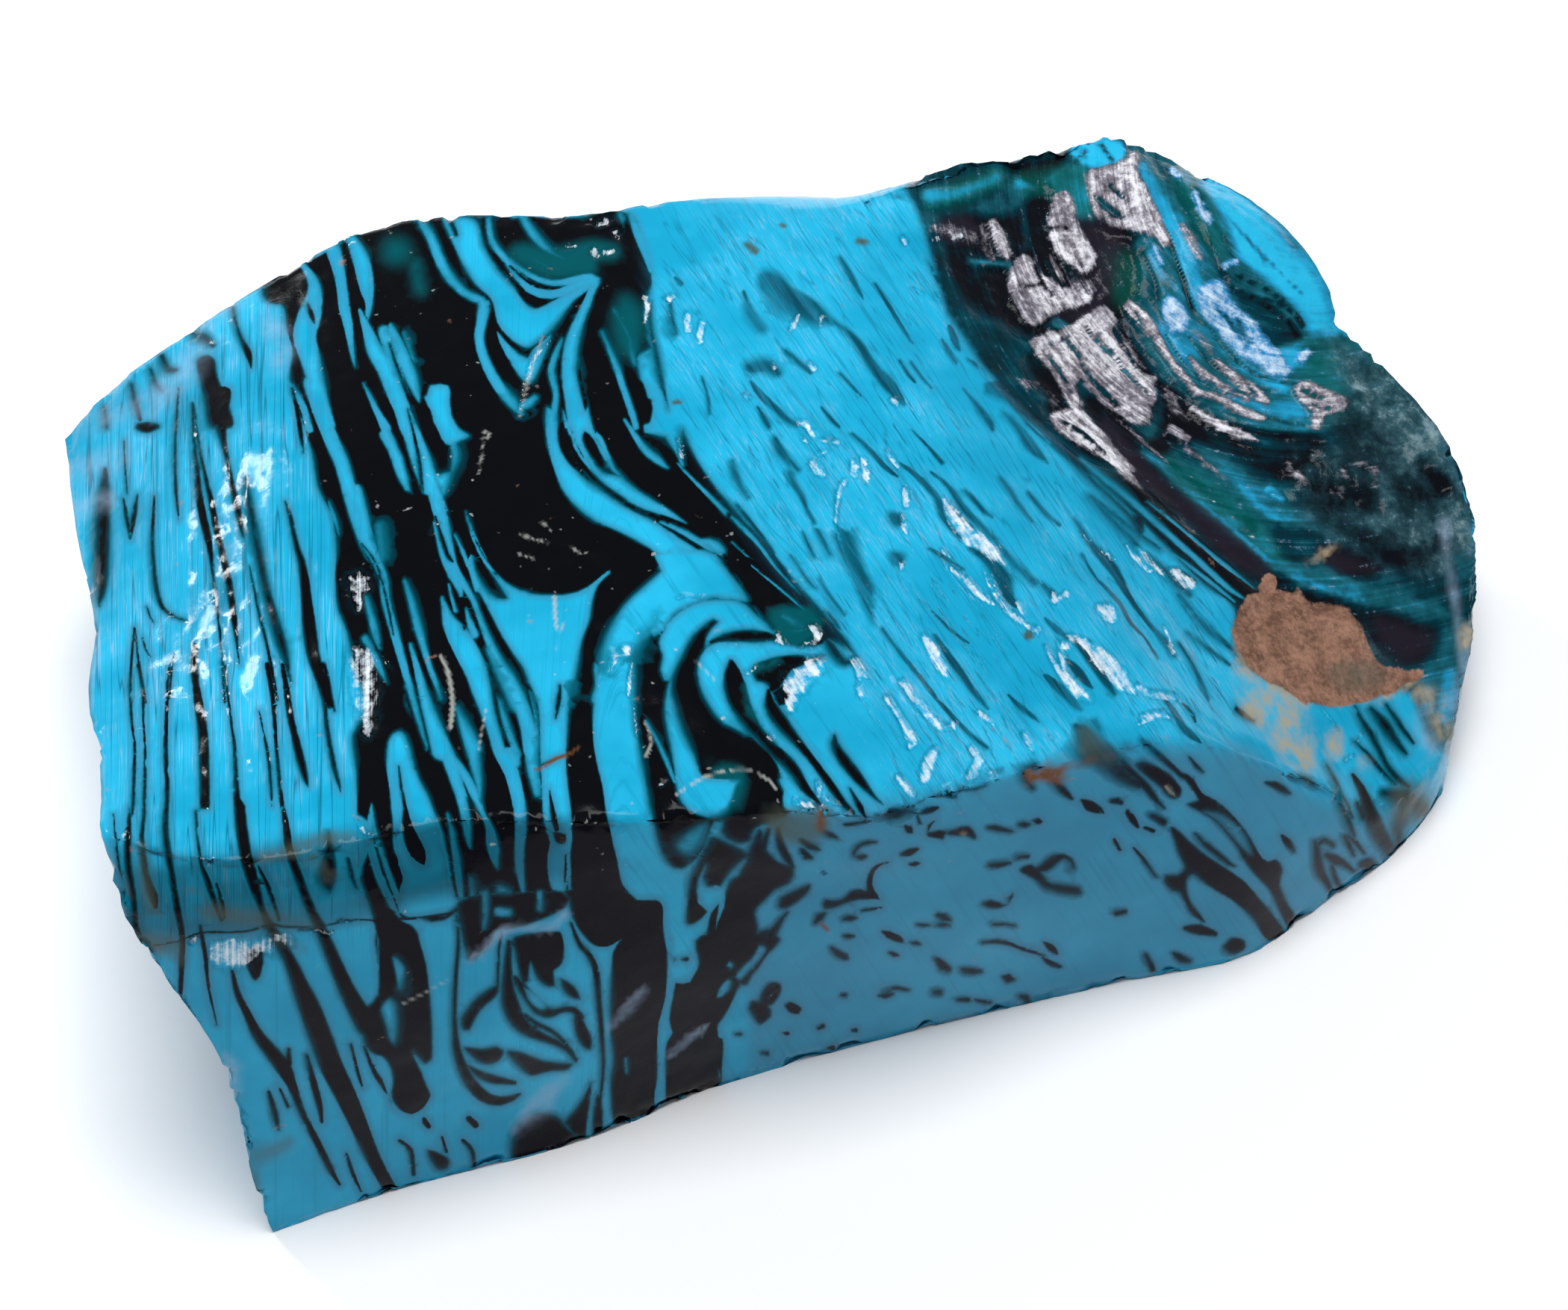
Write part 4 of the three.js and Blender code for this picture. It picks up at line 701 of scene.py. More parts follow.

# Surface marks. The crushed marks are partly real crushed spots and partly painted highlights and glints;
# the haze marks are painted sheen; the frost marks are partly painted sheen; the silk, grey and gap marks
# also set painted highlights on rib crests and painted shade in their creases.
SURFACE_MARKS = (
    ("a3", """
crushed 6 860,490,34 895,480,34
crushed 4 785,492,30 800,492,30
crushed 4 665,492,26 680,505,20
crushed 3 228,850,18 250,800,18
crushed 3 350,795,24 345,832,12
crushed 3 303,980,26 318,995,26
crushed 3 160,985,18 170,998,18
crushed 3 52,1105,28 70,1112,20
crushed 3 628,1118,28 645,1128,20
crushed 3 700,688,12 740,706,10
crushed 3 795,708,12 812,716,8
"""),
    ("a1", """
green_patch 16 1330,500 1400,500 1420,560 1370,590 1320,570
green 12 1440,590,40 1460,690,40
haze 20 150,1200,70 280,1165,80 400,1130,90 480,1080,90 560,1000,70 610,920,40
haze 16 880,820,60 930,900,70 900,980,60
haze 14 620,820,50 700,760,60 760,720,50
"""),
    ("b1", """
haze 16 20,360,80 120,330,90 230,290,90 330,230,60
haze 14 60,470,60 150,450,70 240,430,50
haze 10 420,20,40 560,-60,60
"""),
    ("b3", """
crushed 3 50,32,20 66,42,16
crushed 3 260,132,26 290,148,16
crushed 3 305,172,20 318,186,16
crushed 3 280,200,16 290,212,12
crushed 3 322,292,40 350,325,30
crushed 3 345,255,20 372,240,12
crushed 3 345,198,14 410,216,12
crushed 3 478,300,30 475,330,20
crushed 3 512,290,26 520,340,22
crushed 3 632,45,30 640,60,20
crushed 2 608,250,18 622,275,22 650,305,12
crushed 3 680,400,22 680,452,22
crushed 3 662,500,28 680,552,22
crushed 3 655,680,16 662,700,16
crushed 2 440,350,8 412,400,12 405,480,12 408,565,6
crushed 2 815,628,6 845,652,8
crushed_patch 3 825,440 862,440 902,500 962,570 1012,580 1062,650 1067,712 1010,672 940,622 880,562 840,502
crushed 3 850,700,8 900,750,20 960,800,26 1012,834,14
crushed 3 978,700,8 1010,782,14 1062,862,14 1122,912,14 1195,936,20
crushed 3 1110,828,18 1142,882,16
crushed 3 1172,750,16 1190,752,12
crushed 3 1255,820,36 1302,802,20
crushed 4 1440,860,50 1482,892,40
crushed 3 745,955,8 782,1022,40 822,1092,36 842,1126,14
crushed_patch 4 1290,960 1350,960 1420,1022 1482,1062 1542,1102 1520,1182 1480,1152 1420,1082 1350,1002
crushed 3 1218,1000,16 1262,1082,24 1302,1152,24
crushed 3 480,1050,20 512,1080,20 495,1112,20
crushed 3 492,1188,16 512,1196,12
crushed 3 648,1140,14 702,1192,34
crushed_patch 2 198,1142 240,1100 290,1050 342,1040 372,1086 300,1142 250,1202 212,1222
crushed 3 305,925,24 332,972,16
olive 1.5 1153,959,37 1157,961,37
"""),
    ("b4", """
crushed 5 765,412,24 800,430,24
crushed 4 640,548,14 690,576,26
crushed 4 540,440,20 550,452,14
crushed 3 220,600,10 272,652,36 332,712,26 364,744,10
crushed 3 108,636,10 140,672,12
crushed 4 92,852,34 132,892,34
crushed 3 345,925,12 382,1022,20
crushed 3 400,700,16 452,772,10
crushed 5 -20,975,24 60,1002,36 142,1062,40 182,1132,30
crushed 5 280,1182,30 382,1202,34
haze_patch 6 1420,505 1455,515 1462,650 1492,800 1500,930 1530,905 1565,900 1568,1000 1545,1120 1520,1240
  1440,1240 1490,1100 1480,950 1455,800 1432,650
tan_patch 8 1495,930 1555,910 1570,960 1540,1010 1500,1010
"""),
    ("c3", """
crushed_patch 2 200,80 260,20 330,-12 372,0 320,62 270,112 230,172 202,202 208,140
crushed 3 490,5,34 495,60,20 506,112,12
crushed 3 600,128,24 642,192,20 672,242,26 704,292,46 692,322,24
crushed 3 658,78,16 702,122,36 752,182,36 812,242,36 862,242,20
crushed 3 958,180,10 1002,212,18 1022,242,10
crushed 4 790,335,40 762,390,54 752,442,44
crushed 4 932,330,34 962,372,44 930,432,44
crushed 3 1005,420,26 1020,425,20
crushed 3 1140,268,16 1172,332,20
crushed 3 1238,280,14 1246,286,10
crushed 4 650,440,34 702,502,34
crushed 3 55,28,16 66,34,14
crushed 3 138,278,12 148,290,10
crushed 3 240,540,14 340,552,20 372,520,16
crushed 3 1098,400,16 1144,434,12
crushed 2 352,800,12 362,812,14
rust_patch 4 1135,420 1170,400 1230,395 1290,385 1410,365 1412,376 1310,402 1280,432 1292,462 1220,457
  1160,462
stain_patch 10 120,600 200,568 300,556 390,562 384,622 332,692 272,684 230,702 180,662
rust 6 350,570,30 345,630,30
tan_patch 2 885,642 918,652 912,662 880,652
rust 4 350,1010,14 372,1030,14
"""),
    ("c4", """
crushed 4 60,-20,30 140,32,44 202,72,34 232,112,14
crushed 4 258,202,20 322,192,34 362,202,24
crushed 2 958,168,6 1002,222,10 1032,262,6
crushed 3 1098,302,12 1122,250,8
crushed 3 1050,372,16 1084,350,12
tan_patch 8 640,10 720,60 800,120 902,202 932,272 922,332 932,402 900,424 860,402 780,332 750,262 700,242
  690,182 660,102
tan_patch 6 980,262 1030,250 1042,352 1000,382 970,332
tan_patch 6 1098,360 1152,370 1142,412 1110,402
tan_patch 8 1370,100 1432,110 1442,182 1412,232 1390,172
stain_patch 12 1240,480 1330,450 1390,520 1340,620 1250,600
haze 10 1380,100,40 1350,240,60 1400,330,50
stain_patch 8 15,240 62,250 122,310 172,368 60,372 15,335
tan 3 350,470,6 372,495,10 392,508,6
"""),
    ("c1", """
stain 10 372,700,30 392,850,50 420,960,40
stain 14 640,960,50 760,985,60 900,990,50 1040,1010,40
stain 10 900,1060,30 1000,1100,30
"""),
    ("whole", """
crushed_patch 2 1084,885 1106,892 1088,908 1074,925 1064,945 1056,958 1048,946 1056,930 1050,914 1060,900
  1075,888
crushed 1.5 1265,668,8 1268,690,7 1280,712,8 1299,731,8
crushed_patch 2 1310,714 1330,719 1347,745 1352,778 1340,768 1326,746 1309,731
crushed 1.5 1326,771,3 1345,808,5 1365,829,8 1391,849,6
crushed 1.5 1362,806,6 1370,822,8
crushed 1.5 1262,738,5 1273,746,5
crushed 1.5 1275,762,6 1299,779,7 1315,799,8 1332,809,5
crushed_patch 2 1233,848 1243,853 1258,870 1264,890 1275,908 1262,905 1250,890 1240,870
crushed_patch 2 1470,812 1488,806 1495,820 1494,836 1478,830
crushed 1.5 1211,911,7 1225,930,9 1241,951,8 1257,970,11
crushed 1.5 1277,968,8 1279,975,6
crushed 1.5 1210,700,11 1214,712,7
crushed 1.5 1209,754,6 1207,762,6
crushed 1.5 1309,953,6 1323,964,8
crushed 1.5 1370,983,8 1381,1001,9
crushed 1.5 1411,793,7 1413,807,7
crushed 1.5 1428,793,8 1431,799,6
crushed 1.5 1508,730,6 1524,750,9 1542,768,6
crushed_patch 3 1563,762 1575,760 1602,778 1600,790 1578,785
crushed_patch 2 1416,870 1424,857 1436,868 1428,890 1448,920 1462,930 1448,938 1428,915
crushed_patch 2 1442,852 1462,858 1482,880 1492,905 1480,900 1462,880
crushed 2 1490,888,9 1500,905,12 1512,925,9
crushed 2 1524,918,9 1540,930,10 1563,936,6
crushed 2 1525,970,5 1545,960,8 1560,951,5
crushed 1.5 1453,716,6 1460,724,6
crushed 1.5 1478,738,8 1492,748,6
crushed 1.5 1566,864,8 1573,875,8
crushed 1.5 920,422,10 922,440,11
crushed 1.5 939,434,11 938,456,10
crushed 1.5 1069,422,7 1062,438,9
crushed 1.5 1035,488,7 1038,494,7
crushed 1.5 1084,487,8 1090,494,9
crushed 1.5 1073,566,8 1082,570,9 1087,581,8
crushed 1.5 1106,590,7 1123,592,5
crushed 1.5 1088,620,11 1095,630,14 1101,636,9
crushed 1.5 1142,618,10 1145,634,12
crushed 1.5 1157,616,10 1160,640,11
crushed 1.5 1189,604,7 1198,618,9 1205,627,6
crushed 1.5 1212,656,9 1214,676,11
crushed 1.5 1131,646,5 1123,668,6 1120,695,6
crushed 1.5 1195,536,8 1202,541,8
crushed 1.5 890,399,6 897,402,7
crushed 1.5 1211,318,8 1213,326,8
crushed 1.5 909,588,7 914,610,9
olive 3 1000,327,8 1011,336,11
olive 3 1150,323,9 1159,324,8
olive 2 1047,301,6 1050,303,6
olive 2 903,539,7 910,538,6
crushed 1.5 1147,882,6 1152,896,9 1159,908,4
crushed 1.5 1149,920,6 1154,932,7
crushed 1.5 1188,934,6 1198,950,9 1209,967,8 1216,985,12
crushed 1.5 1093,1045,5 1096,1060,7
crushed 1.5 1064,1070,6 1074,1074,7 1088,1076,5
crushed 1.5 1101,1066,4 1112,1072,8 1124,1078,5
crushed 1.5 1028,985,8 1034,993,5
crushed 1.2 1040,858,8 1050,862,5
crushed 1.2 1088,842,9 1096,850,6 1082,860,5 1070,868,5
green_patch 5 1030,818 1092,815 1098,848 1076,866 1048,862 1040,845
green 5 1010,895,12 1040,884,8
green 4 1003,920,14 1005,955,10
green_patch 8 955,1030 995,1030 990,1075 960,1090
haze 3 630,1284,7 655,1262,9 672,1248,13 690,1242,9 740,1240,9 757,1220,9
haze 5 700,1500,18 725,1470,22 755,1445,18
haze 3 815,1378,8 840,1350,12 862,1325,10
haze 2 895,1415,6 920,1392,10 945,1375,6
crushed_patch 2 300,1258 318,1256 330,1252 332,1290 315,1296 302,1280
crushed_patch 2 352,1252 392,1250 396,1262 372,1272 354,1280
crushed 2 256,1262,10 262,1256,8
crushed 1.5 400,1246,4 420,1244,5 434,1250,9 446,1247,4
crushed 1.5 455,1232,5 470,1234,5
crushed 2 480,1100,5 488,1115,6 500,1118,6
crushed 1.5 270,1150,5 280,1152,4
stain 6 345,1150,10 380,1142,14 430,1125,16 470,1120,14
stain 6 420,1150,14 440,1175,14
stain 4 250,1195,8 262,1188,6
green_patch 9 682,338 700,326 735,334 762,328 795,322 828,330 826,346 800,350 798,366 768,371 735,372
  708,360
green 6 712,344,6 740,352,6
green_patch 14 835,395 856,410 862,440 850,475 830,470 820,430
crushed 2 757,328,7 770,330,7
crushed 2 794,336,12 798,343,10
crushed 2 812,338,12 820,336,10
crushed 2 824,310,9 828,318,9
crushed 2 800,300,10 812,296,12
crushed 2 862,396,8 868,404,10 866,418,8 864,432,6
crushed 2 890,398,5 902,396,8
crushed 1.5 752,446,3 735,458,5 722,470,7 712,486,6 706,504,5 699,528,4 694,552,3
crushed 1.5 905,800,3 925,798,4 942,800,4
crushed_patch 3 800,905 812,890 828,868 848,862 846,876 828,890 812,908
crushed 1.5 846,890,5 843,915,7 842,932,5
crushed 1.5 848,940,2 851,965,3 853,985,3
crushed_patch 3 1048,950 1058,930 1075,905 1095,885 1106,895 1085,915 1068,940 1056,958
crushed 1.5 1002,902,6 1012,894,4
crushed 2 1042,850,8 1046,860,8
crushed 2 1090,840,10 1098,850,10 1090,862,8
crushed 2 1145,884,14 1155,898,16 1160,906,8
crushed 2 1150,920,10 1156,930,8
crushed 2 1100,1050,5 1096,1066,7
crushed 1.5 1028,985,6 1036,992,6
scratch 1 905,1065,2 930,1048,3 950,1038,3 985,1030,3 1005,1030,3
scratch 1 1015,1036,2 1030,1045,3 1040,1058,2
scratch 1 862,965,2 872,990,3 864,1015,2
crushed 1.5 884,1050,6 893,1046,5
crushed_patch 3 470,770 492,768 495,785 480,790 488,812 478,822 468,800
crushed 2 590,700,4 578,706,3 576,714,4
crushed 2 476,860,2 500,872,4 524,894,3
scratch 1 590,878,5 600,900,5 606,940,5 603,975,5
scratch 1 742,800,4 745,840,4
crushed_patch 5 466,875 500,872 506,930 498,985 480,975
crushed_patch 3 462,770 478,764 494,775 490,796 470,800
"""),
    ("c2", """
rust 2 560,412,5 600,400,10 650,365,14 700,350,10 745,318,4
scratch 1 1190,-20,4 1270,60,4
scratch 1 380,175,5 350,330,4
"""),
    ("b2", """
scratch 1 372,168,5 392,172,5 388,192,5 372,190,5 366,240,3 352,330,4
scratch 1 650,790,3 652,850,5 650,900,3
scratch 1 680,900,3 672,960,4 652,1020,3
scratch 1 500,560,3 560,585,4 620,600,3
scratch 1 700,600,3 740,640,4 770,640,3
scratch 1 600,520,3 640,560,3
scratch 1 500,640,3 560,660,4 580,650,3
"""),
    ("a2", """
scratch 1.5 600,880,4 570,960,5 540,1060,5 510,1190,3
"""),
    ("d1", """
crushed_patch 4 640,5 780,0 875,8 850,62 800,92 740,112 650,82
stain_patch 10 780,850 800,800 880,790 960,760 960,800 880,850 800,890
stain_patch 8 790,880 830,880 840,1000 800,1000
stain_patch 8 340,-20 520,-20 545,100 470,60 420,70 370,30
scratch 1.5 1390,245,4 1480,200,3 1570,150,3
haze_patch 6 690,430 745,470 760,560 740,620 705,560
"""),
    ("d2", """
haze 8 870,320,16 940,260,24 1000,190,12
haze 6 1090,450,6 1150,400,10 1200,365,6
haze 10 640,570,30 600,660,40 500,730,30
crushed 2 1480,225,5 1500,185,10
"""),
    ("whole", """
grey 8 1252,306,14 1280,312,20 1300,318,16
grey 3 1316,303,11 1318,325,14 1328,345,12
silk 3 1331,298,11 1340,318,16 1349,342,12
silk_patch 4 1360,348 1375,340 1386,352 1395,368 1408,372 1422,385 1440,382 1462,390 1460,404 1440,412
  1420,418 1400,428 1388,438 1374,430 1364,414 1354,398 1350,374
gap 2 1386,356,3 1396,376,4 1410,396,3
gap 2 1366,380,2 1382,384,3 1396,378,2
silk_patch 4 1412,262 1428,255 1438,272 1441,292 1448,308 1458,325 1468,345 1463,360 1452,368 1440,358
  1428,348 1414,340 1407,322 1404,300 1407,278
gap 1.5 1406,306,2 1420,304,4 1428,306,1
gap 2 1428,316,2 1442,340,4 1452,358,2
grey 4 1410,345,12 1418,362,14 1426,374,10
grey_patch 5 1428,376 1455,372 1470,388 1464,396 1440,388
grey 3 1470,370,9 1481,392,13
silk_patch 5 1455,232 1478,222 1508,212 1517,202 1528,206 1522,224 1535,250 1548,275 1558,300 1567,322
  1560,330 1545,318 1520,308 1495,305 1478,297 1464,285 1458,260
gap 3 1466,262,6 1490,284,10 1506,292,4
gap 2 1488,250,3 1502,262,7 1512,268,3
silk_patch 4 1378,458 1400,446 1430,436 1455,420 1470,411 1485,412 1495,428 1497,445 1513,462 1531,490
  1549,504 1545,516 1551,535 1543,548 1541,566 1518,567 1496,552 1478,541 1458,520 1446,508 1441,516
  1451,540 1440,549 1424,528 1408,500 1392,480
gap 2 1448,488,3 1460,505,6 1478,524,7 1500,545,5
gap 2 1470,450,3 1486,470,5 1504,494,6 1525,515,5 1542,530,3
gap 2 1452,432,3 1466,455,5 1482,472,4
gap 2 1424,452,2 1442,474,4 1452,488,3
gap 2 1492,442,4 1508,470,6 1524,490,5 1544,502,3
gap 3 1400,470,3 1420,500,5 1434,524,4
grey 2 1398,462,4 1420,458,5 1436,448,4
silk_patch 4 1405,560 1422,548 1448,545 1462,562 1482,584 1502,608 1522,632 1500,627 1470,607 1440,593
  1418,577
gap 2 1420,562,3 1450,580,6 1480,606,4
silk 3 1496,618,14 1520,648,10 1545,672,7 1600,715,3
grey 2 1470,535,3 1495,560,5 1530,590,6 1565,620,3
grey 4 1372,512,12 1388,514,16
grey 4 1402,520,12 1414,538,14
silk 3 1512,408,12 1528,425,19 1545,448,18 1560,472,11 1584,502,10 1602,522,8
gap 2 1522,420,2 1540,452,4 1566,490,3
grey 3 1598,445,10 1614,460,15 1622,472,9
silk 3 1592,478,7 1610,498,11 1640,518,9 1672,536,6
silk 3 1628,482,6 1650,502,12 1673,520,17 1696,537,10
gap 2 1664,508,3 1682,528,4
silk 3 1603,526,9 1630,532,12 1655,546,13 1690,560,9
silk 2 1597,546,6 1620,561,12 1650,576,13 1682,589,5
gap 1.5 1612,552,2 1650,566,3 1684,577,2
grey 3 1566,525,14 1573,548,17 1590,562,9
silk 3 1568,574,12 1590,586,10
grey 3 1590,600,8 1612,618,8 1640,640,5
silk_patch 4 1732,518 1750,510 1776,520 1806,536 1800,549 1776,556 1766,576 1755,569 1758,552 1745,540
gap 1.5 1745,524,3 1768,534,4 1796,540,2
gap 1.5 1750,540,2 1772,546,3 1792,552,2
grey 3 1584,302,10 1595,320,15 1607,344,11
grey 3 1724,620,8 1736,640,12 1756,652,8
silk 2 1738,634,7 1748,642,5
grey 3 1798,630,10 1806,641,8
grey 3 1820,622,10 1842,630,13 1840,648,9
grey 2 1660,708,7 1673,712,7
grey 4 1780,655,8 1800,668,6
frost_patch 5 1558,402 1575,398 1590,418 1590,442 1572,446 1559,428
frost_patch 7 1603,395 1613,380 1631,373 1643,386 1655,409 1680,431 1702,460 1722,484 1729,498 1712,506
  1690,492 1660,476 1638,450 1614,426
thaw 4 1630,412,3 1655,440,8 1672,462,6
thaw 3 1650,420,2 1672,446,6 1692,470,3
frost 3 1640,355,9 1655,350,9
frost 2 1600,258,7 1612,285,10 1620,295,7
frost 2 1570,228,9 1580,236,7
frost 3 1742,480,12 1752,470,8
frost 4 1545,330,5 1556,352,6
green_patch 12 1240,262 1290,240 1340,224 1345,246 1290,272 1245,280
green_patch 9 1360,236 1400,226 1445,220 1465,250 1465,292 1435,285 1400,262 1370,262
green_patch 14 1560,612 1620,640 1680,690 1715,745 1690,745 1640,700 1580,655
green_patch 20 1745,468 1800,458 1870,500 1930,560 1930,620 1860,560 1790,560 1750,520
green_patch 14 1570,235 1620,270 1640,340 1600,310
green_patch 14 1480,340 1530,350 1520,410 1490,400
violet_patch 8 1480,560 1520,600 1560,640 1640,700 1700,755 1690,775 1640,745 1580,690 1520,645 1470,600
violet_patch 9 1765,735 1800,735 1850,762 1790,765
violet_patch 14 1840,825 1895,840 1920,855 1895,885 1860,878
violet_patch 12 1440,300 1500,300 1480,410 1430,430 1400,400 1440,380
violet_patch 9 1258,296 1300,290 1308,325 1262,322
sand_patch 9 1650,848 1657,818 1672,800 1692,790 1716,792 1738,800 1760,806 1785,808 1806,818 1822,836
  1830,862 1842,880 1866,896 1896,898 1902,908 1866,926 1838,938 1800,944 1768,945 1738,936 1708,918
  1680,898 1662,878
sand 4 1690,790,10 1703,776,14
tan 3 1750,754,5 1772,742,9 1794,727,4
stain_patch 12 1782,892 1815,884 1850,893 1856,912 1830,925 1795,925 1780,910
tan_patch 7 1655,862 1670,888 1684,925 1690,962 1668,960 1654,910
tan_patch 9 1690,902 1740,916 1750,945 1700,962 1684,930
tan 5 1832,938,8 1868,926,12 1897,908,10
tan 8 1903,930,20 1924,950,26 1936,982,20
"""),
)

END_TONES = (
    ("whole", """
deep_patch 5 1215,250 1250,232 1300,216 1345,212 1400,203 1440,190 1446,214 1400,238 1350,248 1330,262
  1290,282 1245,302
sky 7 1246,262,18 1285,258,16 1335,238,14
sky 6 1368,243,16 1395,240,20
night_patch 7 1345,224 1400,210 1436,200 1440,235 1410,258 1362,236
teal_patch 8 1400,240 1450,205 1462,250 1462,292 1436,288 1415,262
bright_patch 5 1430,200 1450,188 1475,182 1502,192 1506,206 1490,226 1460,223 1440,212
deep 3 1440,218,8 1455,201,4
deep 3 1475,194,6 1490,216,6
deep_patch 10 1238,310 1275,300 1300,390 1345,440 1390,490 1425,555 1455,612 1430,602 1380,562 1310,492
  1265,425
night_patch 10 1262,300 1300,288 1350,290 1395,250 1412,262 1408,300 1500,300 1525,330 1520,400 1500,425
  1440,445 1380,452 1330,425 1290,395
night 5 1385,480,20 1410,520,26 1425,555,20
teal 4 1300,350,6 1330,352,8 1350,355,6
teal 3 1350,352,10 1360,380,8 1358,400,6
teal 3 1415,432,16 1430,438,10
deep 6 1370,270,8 1375,330,8
teal_patch 8 1520,198 1600,222 1645,280 1662,352 1655,400 1602,422 1572,330 1540,270
teal_patch 8 1520,325 1560,330 1595,395 1600,425 1560,420 1535,370
deep 4 1565,225,8 1600,290,14 1630,350,10 1650,388,6
deep 3 1548,213,4 1580,268,6 1602,312,6
deep 3 1602,250,5 1632,308,7 1656,350,5
sky 5 1530,222,12 1560,288,20 1585,340,22 1600,388,24 1612,420,18
night 2 1522,235,3 1545,280,5 1565,320,5 1580,360,5 1592,400,5 1600,420,2
deep 4 1528,335,8 1545,368,8 1550,400,6
sky 5 1540,340,10 1555,372,10
bright_patch 6 1612,240 1650,250 1690,280 1730,318 1770,368 1795,420 1794,447 1770,457 1745,450 1735,420
  1700,384 1664,348 1650,308 1625,270
sky 7 1700,288,14 1740,333,16 1776,385,18 1789,430,14
teal 2 1640,288,2 1680,330,4 1712,362,4 1745,395,2
teal 2 1655,300,2 1690,345,3 1700,360,2
teal_patch 8 1655,352 1690,370 1730,404 1750,440 1742,464 1700,464 1670,432 1648,395
deep_patch 7 1660,392 1695,404 1726,430 1740,452 1716,464 1690,452 1668,425
night 2 1648,386,2 1690,405,6 1725,430,6 1738,450,9 1730,463,5
night 2 1655,368,1 1700,390,3 1735,420,3 1751,448,2
night 2 1690,398,1 1726,414,2 1746,444,3
sky 8 1705,492,24 1740,472,34 1765,460,16
teal_patch 10 1520,420 1600,420 1640,445 1690,490 1745,505 1745,578 1690,577 1620,540 1570,520 1530,470
sky 6 1555,440,10 1600,492,10 1650,530,10 1720,552,12
sky 4 1640,470,6 1680,500,10 1720,520,10
sky 5 1690,545,14 1730,548,16 1755,555,8
deep 5 1512,430,12 1530,475,16 1560,510,18 1598,532,12
night 4 1498,420,12 1514,465,12 1545,508,12 1592,540,8
deep 2 1560,445,2 1580,478,4 1612,512,4 1650,532,2
deep 2 1592,452,3 1622,487,6 1665,512,5 1700,526,2
deep 2 1620,440,3 1650,478,5 1690,505,6 1735,515,3
deep 2 1640,540,2 1670,550,4 1720,565,4 1750,570,2
night 5 1650,570,6 1700,583,12 1760,589,16 1818,602,8
night_patch 9 1452,535 1490,540 1535,590 1560,560 1555,520 1600,545 1680,592 1765,602 1735,640 1700,640
  1640,608 1590,590 1560,622 1610,690 1705,760 1690,782 1640,745 1580,690 1520,642 1475,600
night_patch 6 1400,540 1450,560 1500,620 1470,618 1430,590
teal 7 1530,605,8 1590,648,26 1650,698,34 1712,746,34
deep 4 1560,615,8 1620,660,14 1680,705,14
sky 2 1595,662,2 1645,704,5 1692,746,6
bright 2 1655,712,2 1680,734,4 1698,750,3
teal 7 1612,606,8 1650,638,22 1700,678,32 1760,706,30 1822,722,12
sky 4 1662,650,4 1700,688,8 1760,714,8
sky 3 1700,656,12 1716,668,10
teal 7 1700,756,14 1750,776,30 1800,796,32 1850,810,30 1912,826,20
sky 6 1730,772,8 1790,792,14 1832,806,8
deep_patch 5 1708,700 1750,706 1776,724 1752,750 1718,750
teal_patch 14 1748,462 1800,450 1850,480 1905,530 1955,600 1978,660 1980,740 1935,700 1905,620 1862,562
  1800,572 1750,560
deep_patch 12 1785,572 1850,562 1900,640 1932,700 1932,795 1880,770 1830,745 1795,705 1762,650
teal 8 1772,500,20 1830,500,26 1880,560,20
night 8 1768,650,16 1795,652,14
teal 6 1790,690,16 1850,702,22
teal 6 1852,636,12 1862,675,18 1868,700,10
night 8 1902,620,16 1932,652,26
night 7 1858,746,14 1900,745,26 1932,730,14
night_patch 7 1765,735 1800,735 1850,760 1830,775 1790,765
teal 6 1882,520,12 1932,590,20 1967,660,18 1972,730,10
deep 10 1880,775,24 1920,800,40
night_patch 11 1700,765 1760,792 1840,815 1890,832 1928,842 1918,872 1890,893 1860,884 1838,862 1800,826
  1740,803 1700,798
teal 6 1720,755,12 1780,778,16 1850,800,20 1935,822,14
sky 6 1870,500,10 1905,540,20 1935,600,24 1958,650,18
teal_patch 8 1905,905 1962,850 1970,950 1952,1012 1920,1002 1900,950
sky 6 1942,905,18 1936,962,18
"""),
)

# The longest edges of the fine mesh, in millimetres, where the surface asks for no finer.
FIRST_SPACING = 0.8
OPEN_SPACING = 0.62
RIB_SPACING = 0.24
MARK_SPACING = 0.2
RELIEF_SPACING = 0.36
HIDDEN_SPACING = 0.85
UNDER_SPACING = 1.6
FINEST_SPACING = 0.11
SPACING_SLACK = 1.25

TRIANGLE_LIMIT = 196000
RELAXING_ROUNDS = (6, 3)
RELAXING_SHARE = 0.5
RELIEF_ROUNDS = 3
INK_ROUNDS = 5
SHARP_ANGLE = 32.0
MERGE_DECIMALS = 4
NARROWEST_SEEN = 0.02
FACING_DOWN = -0.75

# Sizes of traced marks, in photo pixels.
LINE_STEP = 10.0
SMALL_MARK_WIDTH = 26.0
SMALL_MARK_RIM = 7.0
INK_REACH = 16.0
INK_TOLERANCE = 0.42
INK_TOLERANCE_GROWTH = 0.35
INK_SLACK = 4.0
PLAIN_SOFTNESS = 1.5
HIDDEN_ERROR_SHARE = 0.3
SMALL_MARKS = ("crushed", "scratch", "rust", "olive")

# How deep hidden points lie in the folds of the marbling.
FOLD_SIZE = 9.0
FOLD_SHIFT = 70.0
HIDDEN_TURN = (0.0, 0.5)

# How squarely the surface faces the camera where its relief and its marks fade in.
RELIEF_FADE = (-0.25, 0.05)
MARK_FADE = (-0.2, 0.05)

